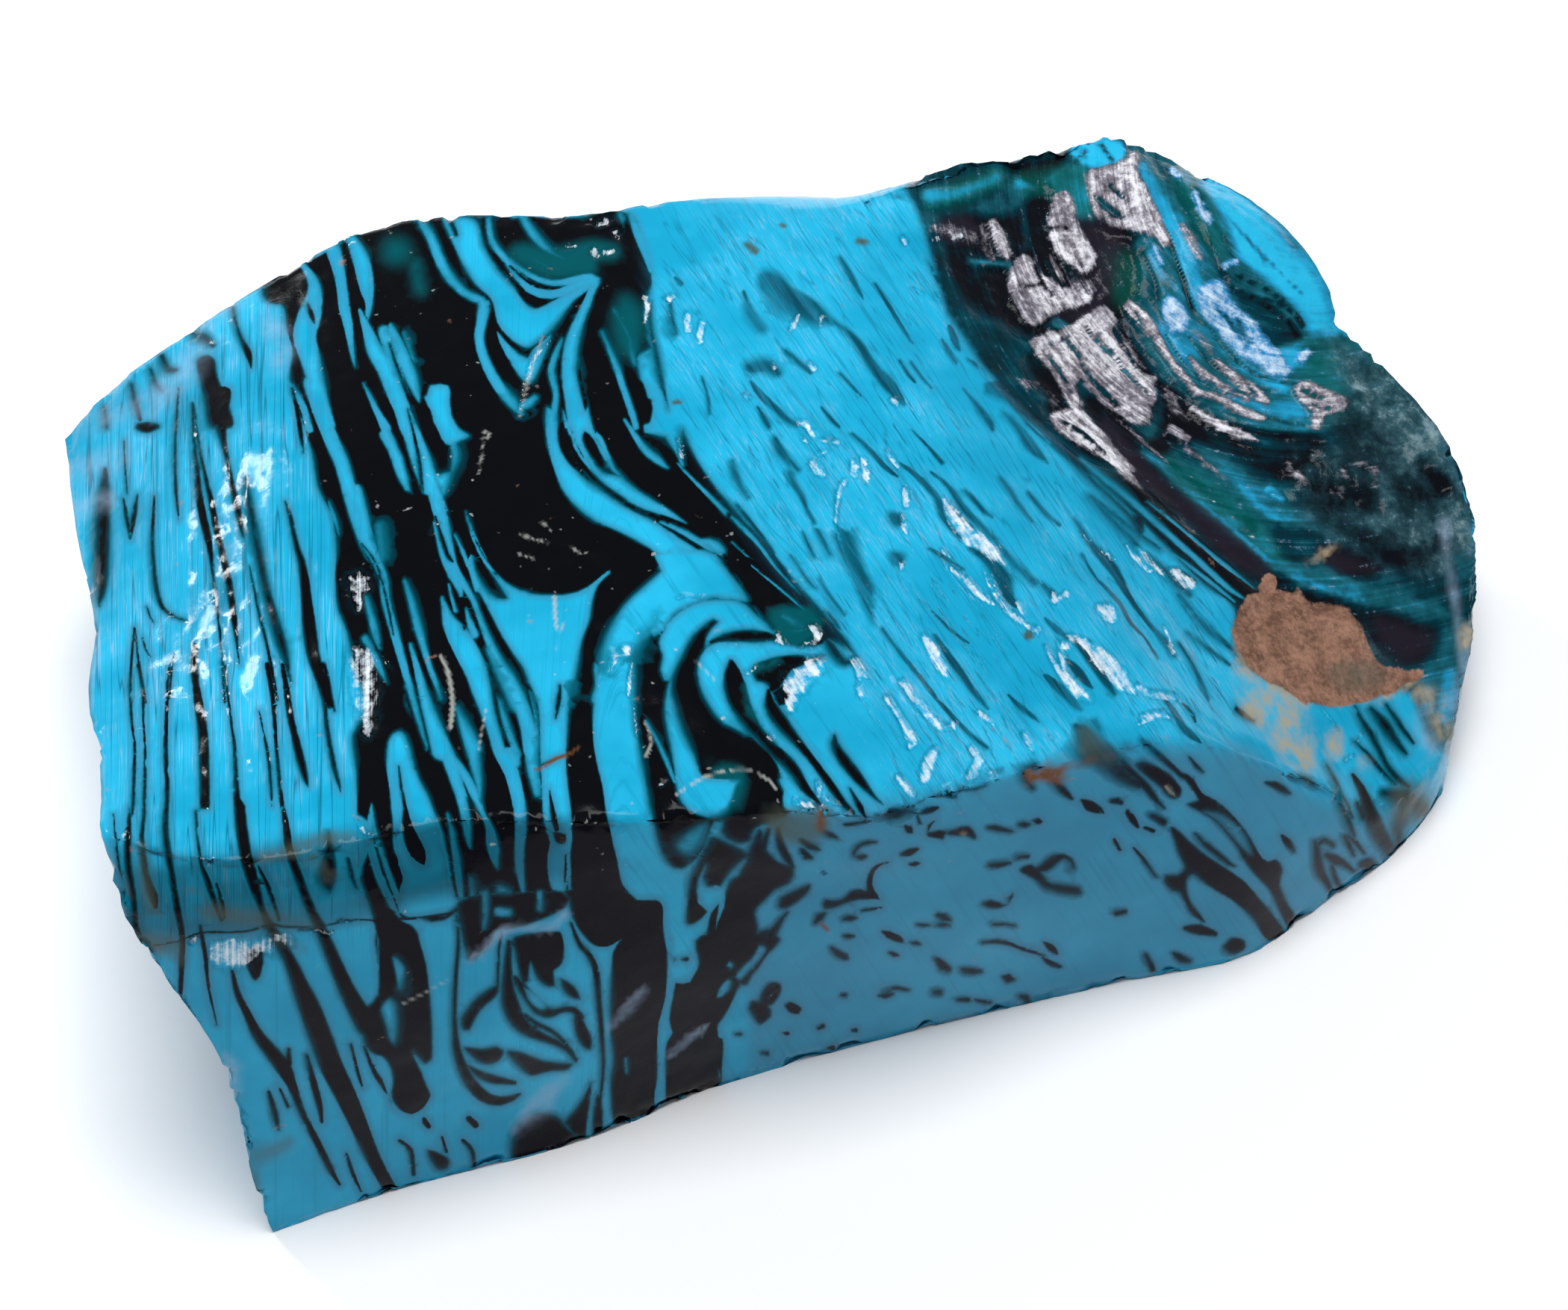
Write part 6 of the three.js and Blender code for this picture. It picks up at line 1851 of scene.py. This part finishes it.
def flow_places(surface, places):
    """Coordinates that run across and along the streaks of the stone, and up through it."""
    right = np.stack(along_break(places), axis=1) / BREAK_FLOW
    swirl = np.stack(swirl_places(places), axis=1) / SWIRL_FLOW
    share = smooth_step(places[:, 0], STRIPES_END, BREAK_BEGINS)[:, None]
    whole = places / STRIPE_FLOW * (1.0 - share) + right * share
    flat = np.where(region(places, BROKEN_END, soft=1.0)[:, None] > 0.5, swirl, whole)
    return np.column_stack([flat, surface.points[:, 2] / FLOW_DEPTH])


def end_layers(places, marks, tones):
    """The painted layers of the broken end: depth of blue, silky ribs and pale frosting."""
    return {
        "tone": painted(places, tones, TONES, ground=0.38),
        "silk": painted(places, marks, SILKS, ground=0.0),
        "frost": painted(places, marks, FROSTS, ground=0.0),
    }


def add_marbling(mesh, surface, places, marbling):
    """The numbers that tell the material where black and blue meet, and how softly."""
    ink, softness = ink_at(places, marbling)
    beside = ink_at(places + SIDE_STEP, marbling)[0]
    right_side = smooth_step(ink - beside, *SIDE_SLOPE)
    streaked = region(places, STREAKED_MIDDLE, soft=30.0)
    plane = region(places, FRONT_PLANE, soft=20.0)
    steep_shade = smooth_step(-surface.normals()[:, 2], *STEEP_TURN) * smooth_step(places[:, 1], *STEEP_ROWS)
    softness = softness * (LEFT_SOFTNESS + RIGHT_SOFTNESS * right_side)
    add_numbers(mesh, "ink", ink + STREAKED_PALENESS * streaked)
    add_numbers(mesh, "softness", softness + STREAKED_SOFTNESS * streaked + PLANE_SOFTNESS * plane)
    add_numbers(mesh, "streaked", streaked)
    # The plane number says how strongly the front plane, and more weakly the steep low faces, take painted
    # shade in the material.
    add_numbers(mesh, "plane", np.maximum(plane, STEEP_SHADE * steep_shade))


def add_regions(mesh, places, shown):
    # Painted shade on the bevelled band at the front left.
    add_numbers(mesh, "ledge_shade", region(places, SHADED_LEDGE, soft=16.0) * shown)
    add_numbers(mesh, "striped", region(places, STRIPED_LEFT, soft=25.0))
    add_numbers(mesh, "dusty", region(places, BLACK_TOP, soft=30.0))
    add_numbers(mesh, "end", region(places, BROKEN_END, soft=6.0))
    add_numbers(mesh, "crumbled", region(places, CRUMBLED_PART, soft=22.0))


def add_marks(mesh, places, marks, shown):
    """Surface marks stay on the side they were traced on; only the deep ones go through the stone."""
    for name in MARK_NAMES:
        fade = DEEP_MARK_LEAST + (1.0 - DEEP_MARK_LEAST) * shown if name in DEEP_MARKS else shown
        add_numbers(mesh, name, stain_at(places, marks, name) * fade)


def build_stone(cad_mesh):
    """The finished piece, without its material, from the mesh of the CAD stone."""
    marbling = read_marks(MARBLING)
    marks = read_marks(SURFACE_MARKS)
    tones = read_marks(END_TONES)
    surface = fine_surface(cad_mesh, marbling, marks)
    places = pattern_places(surface)
    height = relief(surface, places, marks, end_layers(places, marks, tones)) + chip_edges(surface)
    surface.points = surface.points + surface.normals() * height[:, None]
    surface.points[:, 2] = np.maximum(surface.points[:, 2], 0.0)

    mesh = bpy.data.meshes.new("marbled_turquoise_stone")
    mesh.from_pydata((surface.points * MM).tolist(), [], surface.faces.tolist())
    mesh.shade_smooth()
    places = pattern_places(surface)
    shown = smooth_step(facing_camera(surface), *MARK_FADE)
    layers = end_layers(places, marks, tones)
    add_marbling(mesh, surface, places, marbling)
    add_regions(mesh, places, shown)
    add_numbers(mesh, "tone", layers["tone"])
    add_numbers(mesh, "silk", layers["silk"] * shown)
    add_numbers(mesh, "frost", layers["frost"] * shown)
    add_marks(mesh, places, marks, shown)
    add_vectors(mesh, "flow", flow_places(surface, places))
    stone = bpy.data.objects.new("turquoise_stone_visual", mesh)
    show(stone)
    return stone


# --- Materials ------------------------------------------------------------------------------------

class Nodes:
    """Short ways to make and join the nodes of one material."""

    def __init__(self, name):
        self.material = bpy.data.materials.new(name)
        self.material.use_nodes = True
        self.tree = self.material.node_tree
        self.shader = self.tree.nodes["Principled BSDF"]

    def add(self, kind, **settings):
        node = self.tree.nodes.new(kind)
        for name, value in settings.items():
            setattr(node, name, value)
        return node

    def join(self, value, socket):
        if isinstance(value, bpy.types.NodeSocket):
            self.tree.links.new(value, socket)
        else:
            socket.default_value = value

    def number(self, name):
        return self.add("ShaderNodeAttribute", attribute_name=name).outputs["Fac"]

    def vector(self, name):
        return self.add("ShaderNodeAttribute", attribute_name=name).outputs["Vector"]

    def math(self, operation, *values):
        node = self.add("ShaderNodeMath", operation=operation)
        for value, socket in zip(values, node.inputs):
            self.join(value, socket)
        return node.outputs["Value"]

    def times(self, *values):
        """The values multiplied together."""
        return functools.reduce(lambda first, second: self.math("MULTIPLY", first, second), values)

    def plus(self, *values):
        """The values added together."""
        return functools.reduce(lambda first, second: self.math("ADD", first, second), values)

    def away_from(self, value, middle):
        """How far the value is from a middle value, either way."""
        return self.math("ABSOLUTE", self.math("SUBTRACT", value, middle))

    def spread(self, value, low, high, new_low=0.0, new_high=1.0):
        """Maps low..high to new_low..new_high, held at the ends."""
        node = self.add("ShaderNodeMapRange", clamp=True)
        for item, socket in zip((value, low, high, new_low, new_high), node.inputs):
            self.join(item, socket)
        return node.outputs["Result"]

    def mix(self, share, first, second):
        node = self.add("ShaderNodeMix", data_type="RGBA")
        self.join(share, node.inputs["Factor"])
        self.join(first, node.inputs["A"])
        self.join(second, node.inputs["B"])
        return next(out for out in node.outputs if out.type == "RGBA")

    def paint(self, under, over, *shares):
        """One colour laid over another as strongly as the shares multiplied together."""
        return self.mix(self.times(*shares), under, over)

    def noise(self, place, scale, detail=2.0, roughness=0.5):
        """Noise from 0 to 1, mostly close to a half, with so many features to a unit of the place."""
        node = self.add("ShaderNodeTexNoise")
        self.join(place, node.inputs["Vector"])
        node.inputs["Scale"].default_value = scale
        node.inputs["Detail"].default_value = detail
        node.inputs["Roughness"].default_value = roughness
        return node.outputs["Fac"]

    def even_noise(self, place, scale, detail=2.0, roughness=0.5):
        """Noise as often below nothing as above it."""
        return self.math("SUBTRACT", self.noise(place, scale, detail, roughness), 0.5)

    def ramp(self, value, stops):
        node = self.add("ShaderNodeValToRGB")
        ramp = node.color_ramp
        while len(ramp.elements) < len(stops):
            ramp.elements.new(0.5)
        for element, (position, color) in zip(ramp.elements, stops):
            element.position = position
            element.color = color
        self.join(value, node.inputs["Fac"])
        return node.outputs["Color"]


class StoneNodes(Nodes):
    """The nodes of the stone, with the noises that several of its looks share."""

    def __init__(self, name):
        super().__init__(name)
        self.place = self.add("ShaderNodeTexCoord").outputs["Object"]
        self.flow = self.vector("flow")
        self.streak = self.noise(self.flow, scale=1.0, detail=3.0, roughness=0.6)
        self.cloud = self.noise(self.place, scale=160.0, detail=3.0, roughness=0.6)
        self.grain = self.noise(self.place, scale=3200.0, detail=3.0, roughness=0.7)
        self.mottle = self.even_noise(self.place, scale=750.0, detail=4.0, roughness=0.6)
        self.layering = self.even_noise(self.flow, scale=1.1, detail=3.0, roughness=0.65)
        self.patches = self.even_noise(self.place, scale=330.0, detail=4.0, roughness=0.6)
        self.crinkle = self.even_noise(self.place, scale=1900.0, detail=4.0, roughness=0.75)


def screen_color(red, green, blue):
    """A colour given by its 0-255 screen values, made linear."""
    def linear(value):
        value /= 255.0
        return value / 12.92 if value <= 0.04045 else ((value + 0.055) / 1.055) ** 2.4
    return (linear(red), linear(green), linear(blue), 1.0)


BLACK = screen_color(7, 9, 13)
NIGHT = screen_color(12, 15, 21)
DEEP_TEAL = screen_color(0, 52, 64)
MID_TEAL = screen_color(8, 120, 145)
END_TEAL = screen_color(22, 92, 106)
END_SKY = screen_color(32, 146, 188)
TURQUOISE = screen_color(22, 158, 198)
PALE_TURQUOISE = screen_color(40, 184, 226)
DEEP_TURQUOISE = screen_color(12, 134, 170)
LINE_TEAL = screen_color(8, 96, 122)
EDGE_BLUE = screen_color(50, 134, 168)
GLASS_TEAL = screen_color(0, 80, 88)
# Painted shade: the front plane and the steep faces low down turn from the light, so their blue is painted
# duller and their black violet-grey.
PLANE_SHADE_BLUE = screen_color(68, 110, 136)
PLANE_SHADE_BLACK = screen_color(16, 8, 28)
GLASS_GREEN = screen_color(0, 128, 112)
VIOLET_BLACK = screen_color(36, 31, 42)
# Partly real crushed whitish spots, partly painted highlights and glints of gloss on the polished stone.
CRUSHED_AND_GLINT_WHITE = screen_color(226, 238, 246)
# Painted highlight and shade: the silver ribs are painted white on their crests and dark in their creases,
# partly their own silky grey.
SILK_CREASE_SHADE = screen_color(44, 42, 50)
SILK_GREY = screen_color(132, 128, 138)
SILK_CREST_HIGHLIGHT = screen_color(238, 238, 244)
CRUMB_DARK = screen_color(24, 48, 56)
CRUMB_GREY = screen_color(54, 84, 92)
CRUMB_PALE = screen_color(150, 172, 176)
# Frosting: partly real pale frosting, partly painted sheen, white where it is thickest.
FROST_BLUE = screen_color(50, 136, 190)
FROST_SHEEN_WHITE = screen_color(205, 226, 242)
SAND_BROWN = screen_color(164, 124, 104)
SAND_DARK = screen_color(104, 76, 62)
TAN = screen_color(176, 160, 130)
RUST = screen_color(110, 70, 42)
OLIVE = screen_color(78, 86, 76)
OLIVE_DARK = screen_color(70, 82, 62)
# Painted sheen: a pale milky reflection laid over the stone by the haze marks and the pale lines.
SHEEN_HAZE = screen_color(165, 188, 215)
SCRATCH = screen_color(190, 195, 190)
FLOOR_GREY = (0.93, 0.93, 0.94, 1.0)
FLOOR_WHITE = (0.97, 0.97, 0.97, 1.0)

STONE_IOR = 1.18
FLOOR_IOR = 1.2
BUMP_STRENGTH = 0.35
BUMP_DEPTH = 0.00012
SHEEN_IN_SILK = 0.8
SHEEN_IN_FROST = 0.6
RAGGED_EDGE = 1.6

# How strongly each colour covers what lies under it.
LINE_COVER = 0.8
STREAKED_LINES = 0.55
PLANE_SHADE_COVER = 0.55
PLANE_SHADE_BLACK_COVER = 0.6
STREAKED_TEAL = 0.45
GREEN_COVER = 0.22
VIOLET_COVER = 0.8
CRUST_COVER = 0.88
OLIVE_COVER = 0.9
CRUSHED_AND_GLINT_COVER = 0.95
SCRATCH_COVER = 0.6
DUST_COVER = 0.55


def fleck_share(nodes):
    """Small dark flecks drawn out along the streaks of the middle slope."""
    flecks = nodes.spread(nodes.noise(nodes.flow, scale=2.4, detail=2.0, roughness=0.55), 0.62, 0.68)
    crowds = nodes.spread(nodes.noise(nodes.place, scale=95.0, detail=1.0), 0.45, 0.62, 0.0, 0.75)
    return nodes.times(flecks, crowds, nodes.number("streaked"))


def blue_color(nodes, ink, flecks):
    """The polished turquoise: clouded, finely lined along its streaks with painted sheen lines among them,
    duller beside black, with painted shade on the front plane and the bevel at the front left.
    """
    streaked = nodes.number("streaked")
    lined = nodes.math("MAXIMUM", nodes.number("striped"), nodes.times(streaked, STREAKED_LINES))
    from_dark = nodes.away_from(nodes.noise(nodes.flow, scale=0.9, detail=1.0, roughness=0.4), 0.5)
    from_sheen = nodes.away_from(nodes.noise(nodes.flow, scale=2.1), 0.52)
    dark_lines = nodes.spread(from_dark, 0.0, 0.028, 1.0, 0.0)
    sheen_lines = nodes.spread(from_sheen, 0.0, 0.035, 0.55, 0.0)
    open_stone = nodes.spread(streaked, 0.0, 1.0, 1.0, 0.2)

    blue = nodes.mix(nodes.spread(nodes.cloud, 0.35, 0.7), TURQUOISE, PALE_TURQUOISE)
    blue = nodes.mix(nodes.spread(nodes.streak, 0.55, 0.8, 0.0, 0.75), blue, DEEP_TURQUOISE)
    blue = nodes.paint(blue, LINE_TEAL, dark_lines, lined, LINE_COVER)
    # Painted sheen: pale lines of reflection along the streaks where the stone is lined.
    blue = nodes.paint(blue, SHEEN_HAZE, sheen_lines, nodes.spread(nodes.cloud, 0.42, 0.6), lined)
    blue = nodes.paint(blue, EDGE_BLUE, nodes.spread(ink, 1.5, 10.0, 0.85, 0.0), open_stone)
    # Painted shade on the front plane and the steep low faces.
    blue = nodes.paint(blue, PLANE_SHADE_BLUE, nodes.number("plane"), PLANE_SHADE_COVER)
    blue = nodes.mix(flecks, blue, LINE_TEAL)
    # Painted shade on the bevelled band at the front left, patchy with the clouds.
    shade = nodes.spread(nodes.cloud, 0.3, 0.6, 0.4, 0.75)
    return nodes.paint(blue, DEEP_TEAL, nodes.number("ledge_shade"), shade)


def black_color(nodes, lightness):
    """The black glassy bands, teal where they thin out towards their edges, painted violet-grey for shade on
    the front plane.
    """
    black = nodes.ramp(lightness, ((0.0, BLACK), (0.35, DEEP_TEAL), (0.7, MID_TEAL), (1.0, MID_TEAL)))
    # Painted shade: the black on the front plane is made violet-grey.
    black = nodes.paint(black, PLANE_SHADE_BLACK, nodes.number("plane"), PLANE_SHADE_BLACK_COVER)
    return nodes.paint(black, LINE_TEAL, nodes.number("streaked"), STREAKED_TEAL)


def marbled_color(nodes, flecks):
    """Blue and black divided where the ink is nothing, over a width that wanders."""
    raggedness = nodes.times(nodes.even_noise(nodes.place, scale=2600.0, detail=3.0), RAGGED_EDGE)
    ink = nodes.plus(nodes.number("ink"), raggedness)
    blurring = nodes.spread(nodes.noise(nodes.place, scale=210.0), 0.4, 0.62, 0.6, 2.4)
    width = nodes.times(nodes.number("softness"), blurring)
    lightness = nodes.plus(nodes.math("DIVIDE", nodes.times(ink, 0.5), width), 0.5)
    fading = nodes.times(nodes.number("streaked"), nodes.spread(nodes.streak, 0.3, 0.6, 0.4, 0.0))
    darkness = nodes.times(nodes.spread(lightness, 0.5, 1.0, 1.0, 0.0), nodes.math("SUBTRACT", 1.0, fading))
    color = nodes.mix(darkness, blue_color(nodes, ink, flecks), black_color(nodes, lightness))
    return nodes.paint(color, GLASS_TEAL, nodes.number("green"), darkness)


def layered_color(nodes):
    """The glassy layers of the broken end, from black through teal to sky blue."""
    tone = nodes.plus(
        nodes.number("tone"),
        nodes.times(nodes.mottle, 0.4),
        nodes.times(nodes.layering, 0.45),
        nodes.times(nodes.patches, 0.6),
    )
    stops = ((0.0, NIGHT), (0.28, DEEP_TEAL), (0.5, END_TEAL), (0.75, END_SKY), (1.0, PALE_TURQUOISE))
    color = nodes.paint(nodes.ramp(tone, stops), GLASS_GREEN, nodes.number("green"), GREEN_COVER)
    return nodes.paint(color, VIOLET_BLACK, nodes.number("violet"), VIOLET_COVER)


def crumb_color(nodes):
    """The dull crumbled crust at the right rim."""
    tone = nodes.plus(
        nodes.times(nodes.patches, 1.8),
        nodes.times(nodes.crinkle, 0.9),
        nodes.times(nodes.number("tone"), 0.9),
    )
    return nodes.ramp(tone, ((0.0, NIGHT), (0.3, CRUMB_DARK), (0.55, CRUMB_GREY), (0.95, CRUMB_PALE)))


def silk_light_and_shade_color(nodes, sheen):
    """Silver ribs, partly their own silky grey, with painted shade in their creases and painted highlights
    on their crests.
    """
    crest = nodes.plus(nodes.times(nodes.number("silk"), 0.58), sheen, nodes.times(nodes.patches, 0.9))
    return nodes.ramp(crest, ((0.05, SILK_CREASE_SHADE), (0.45, SILK_GREY), (0.85, SILK_CREST_HIGHLIGHT)))


def frost_sheen_color(nodes, sheen):
    """Icy blue frosting, white where it is thickest: partly real frosting, partly painted sheen."""
    icy = nodes.plus(nodes.times(nodes.number("frost"), 0.5), sheen)
    return nodes.ramp(icy, ((0.2, FROST_BLUE), (0.75, FROST_SHEEN_WHITE)))


def broken_color(nodes, sheen, silk_share):
    """The broken end: glassy layers, crust, silver ribs with painted highlights and shade, and pale frosting
    with painted sheen.
    """
    ragged = nodes.plus(nodes.number("frost"), nodes.times(sheen, SHEEN_IN_FROST))
    frost_share = nodes.spread(ragged, 0.15, 0.7)
    color = nodes.paint(layered_color(nodes), crumb_color(nodes), nodes.number("crumbled"), CRUST_COVER)
    color = nodes.mix(silk_share, color, silk_light_and_shade_color(nodes, sheen))
    return nodes.mix(frost_share, color, frost_sheen_color(nodes, sheen))


def dirt_and_sheen_color(nodes, color):
    """Painted sheen veils from the haze marks, the sand skin with its tan flakes, and stained, rusty and
    olive spots.
    """
    mist = nodes.noise(nodes.place, scale=420.0, detail=3.0, roughness=0.6)
    spots = nodes.noise(nodes.place, scale=650.0, detail=3.0, roughness=0.6)
    veil = nodes.spread(mist, 0.35, 0.65, 0.1, 0.42)
    tan_spots = nodes.spread(spots, 0.36, 0.6, 0.1, 0.85)
    sand = nodes.mix(nodes.spread(nodes.plus(nodes.grain, nodes.mottle), 0.3, 0.75), SAND_DARK, SAND_BROWN)
    sand_share = nodes.spread(nodes.plus(nodes.number("sand"), nodes.times(nodes.mottle, 1.8)), 0.35, 0.6)
    # Painted sheen: pale reflection veils where the haze marks lie.
    color = nodes.paint(color, SHEEN_HAZE, nodes.number("haze"), veil)
    color = nodes.paint(color, TAN, nodes.number("tan"), tan_spots)
    color = nodes.mix(sand_share, color, sand)
    color = nodes.paint(color, OLIVE, nodes.number("stain"), nodes.spread(nodes.cloud, 0.3, 0.7, 0.3, 0.9))
    color = nodes.paint(color, RUST, nodes.number("rust"), nodes.spread(nodes.grain, 0.25, 0.5, 0.6, 1.0))
    return nodes.paint(color, OLIVE_DARK, nodes.number("olive"), OLIVE_COVER)


def crushed_and_glint_tone(nodes, crush_grain):
    """How white the crushed spots and painted glints are; where it is lowest, the material paints shade in
    their cracks.
    """
    crush_streak = nodes.noise(nodes.flow, scale=1.3, detail=4.0, roughness=0.7)
    return nodes.plus(
        nodes.times(crush_grain, 1.1),
        nodes.times(crush_streak, 1.3),
        nodes.times(nodes.number("crushed"), 0.8),
    )


def wear_and_glint_color(nodes, color, crush, crushed):
    """Crushed spots and painted glints with painted shade in their cracks, hairline scratches and specks of
    dust.
    """
    crevice_shade = nodes.spread(crush, 1.45, 1.65, 0.75, 0.0)
    specks = nodes.spread(nodes.noise(nodes.place, scale=2100.0, detail=1.0), 0.74, 0.79)
    dust = nodes.times(specks, nodes.spread(nodes.cloud, 0.4, 0.6), nodes.number("dusty"))
    # Painted shade in the cracks of the crushed spots and glints.
    color = nodes.paint(color, DEEP_TEAL, crevice_shade, nodes.number("crushed"))
    # Crushed whitish spots, partly real and partly painted highlights and glints.
    color = nodes.paint(color, CRUSHED_AND_GLINT_WHITE, crushed, CRUSHED_AND_GLINT_COVER)
    color = nodes.paint(color, SCRATCH, nodes.number("scratch"), SCRATCH_COVER)
    return nodes.paint(color, SCRATCH, dust, DUST_COVER)


def stone_roughness(nodes, silk_share, crushed):
    """Glossy where polished, dull on sand, silk, tan flakes and crushed spots."""
    rough = nodes.spread(nodes.noise(nodes.place, scale=900.0, detail=3.0), 0.3, 0.7, 0.08, 0.2)
    for share, amount in (
        (nodes.number("sand"), 0.85),
        (silk_share, 0.36),
        (nodes.number("tan"), 0.6),
        (crushed, 0.45),
    ):
        rough = nodes.math("MAXIMUM", rough, nodes.times(share, amount))
    return rough


def stone_bump(nodes, flecks, crush_grain, crushed):
    """The finest grain, too small for the mesh."""
    rubble = nodes.spread(nodes.number("end"), 0.0, 1.0, 0.35, 1.6)
    fine = nodes.plus(
        nodes.times(nodes.noise(nodes.place, scale=1400.0, detail=4.0, roughness=0.6), rubble),
        nodes.times(nodes.grain, nodes.number("sand"), 2.5),
        nodes.times(flecks, -1.6),
        nodes.times(crush_grain, crushed, 1.2),
    )
    bump = nodes.add("ShaderNodeBump")
    bump.inputs["Strength"].default_value = BUMP_STRENGTH
    bump.inputs["Distance"].default_value = BUMP_DEPTH
    nodes.join(fine, bump.inputs["Height"])
    return bump.outputs["Normal"]


def stone_material():
    """Opaque marbled stone: polished turquoise, black glassy bands, crushed and stained spots, with painted
    glints, sheen and shade.
    """
    nodes = StoneNodes("marbled_turquoise")
    flecks = fleck_share(nodes)
    sheen = nodes.plus(nodes.times(nodes.layering, 1.3), nodes.times(nodes.crinkle, 1.5))
    ragged = nodes.plus(nodes.number("silk"), nodes.times(sheen, SHEEN_IN_SILK))
    silk_share = nodes.spread(ragged, 0.22, 0.7)
    crush_grain = nodes.noise(nodes.place, scale=1900.0, detail=5.0, roughness=0.75)
    crush = crushed_and_glint_tone(nodes, crush_grain)
    # The share of white from the crushed marks: partly real crushed spots, partly painted glints.
    crushed = nodes.spread(crush, 1.8, 2.15)

    marbled = marbled_color(nodes, flecks)
    broken = broken_color(nodes, sheen, silk_share)
    color = nodes.mix(nodes.number("end"), marbled, broken)
    color = dirt_and_sheen_color(nodes, color)
    color = wear_and_glint_color(nodes, color, crush, crushed)
    nodes.join(color, nodes.shader.inputs["Base Color"])
    nodes.join(stone_roughness(nodes, silk_share, crushed), nodes.shader.inputs["Roughness"])
    nodes.join(stone_bump(nodes, flecks, crush_grain, crushed), nodes.shader.inputs["Normal"])
    nodes.shader.inputs["IOR"].default_value = STONE_IOR
    return nodes.material


def floor_material():
    """Plain matt white board."""
    nodes = Nodes("pale_floor")
    tone = nodes.noise(nodes.add("ShaderNodeTexCoord").outputs["Object"], 6.0)
    nodes.join(nodes.mix(tone, FLOOR_GREY, FLOOR_WHITE), nodes.shader.inputs["Base Color"])
    nodes.shader.inputs["Roughness"].default_value = 0.9
    nodes.shader.inputs["IOR"].default_value = FLOOR_IOR
    return nodes.material


# --- The scene ------------------------------------------------------------------------------------

CLIP_START = 0.001
CLIP_END = 20.0
FLOOR_SIZE = 12.0
ROOM_COLOR = (0.9, 0.93, 1.0, 1.0)
ROOM_STRENGTH = 0.26
LIGHT_AIM = Vector((0.0, 0.0, 0.01))


def show(thing):
    bpy.context.scene.collection.objects.link(thing)


def place_camera():
    data = bpy.data.cameras.new("photo_camera")
    data.sensor_width = SENSOR_WIDTH
    data.lens = FOCAL_PIXELS * SENSOR_WIDTH / PHOTO_WIDTH
    data.clip_start = CLIP_START
    data.clip_end = CLIP_END
    camera = bpy.data.objects.new("photo_camera", data)
    camera.location = Vector(camera_place() * MM)
    camera.rotation_mode = "QUATERNION"
    camera.rotation_quaternion = Vector(-camera_axes()[2]).to_track_quat("-Z", "Y")
    show(camera)
    bpy.context.scene.camera = camera


def add_floor():
    bpy.ops.mesh.primitive_plane_add(size=FLOOR_SIZE, location=(0.0, 0.0, 0.0))
    floor = bpy.context.object
    floor.name = "floor"
    floor.data.materials.append(floor_material())


def add_light(name, azimuth, elevation, distance, size, power):
    """A soft light in a direction from the stone, in degrees; azimuth 0 is the front."""
    around = math.radians(azimuth)
    above = math.radians(elevation)
    away = Vector((math.sin(around) * math.cos(above), -math.cos(around) * math.cos(above), math.sin(above)))
    data = bpy.data.lights.new(name, "AREA")
    data.shape = "RECTANGLE"
    data.size, data.size_y = size
    data.energy = power
    light = bpy.data.objects.new(name, data)
    light.location = LIGHT_AIM + away * distance
    light.rotation_mode = "QUATERNION"
    light.rotation_quaternion = away.to_track_quat("Z", "Y")
    show(light)


def light_scene():
    world = bpy.data.worlds.new("soft_room")
    world.use_nodes = True
    background = world.node_tree.nodes["Background"]
    background.inputs["Color"].default_value = ROOM_COLOR
    background.inputs["Strength"].default_value = ROOM_STRENGTH
    bpy.context.scene.world = world
    add_light("overhead", azimuth=0.0, elevation=90.0, distance=0.7, size=(0.36, 0.36), power=4.5)
    add_light("left_window", azimuth=203.0, elevation=28.0, distance=0.6, size=(0.1, 0.06), power=1.2)
    bpy.context.scene.view_settings.view_transform = "Standard"


stone = build_stone(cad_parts["turquoise_stone"].data)
stone.data.materials.append(stone_material())
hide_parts("turquoise_stone")
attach(stone, "root")
add_floor()
light_scene()
place_camera()
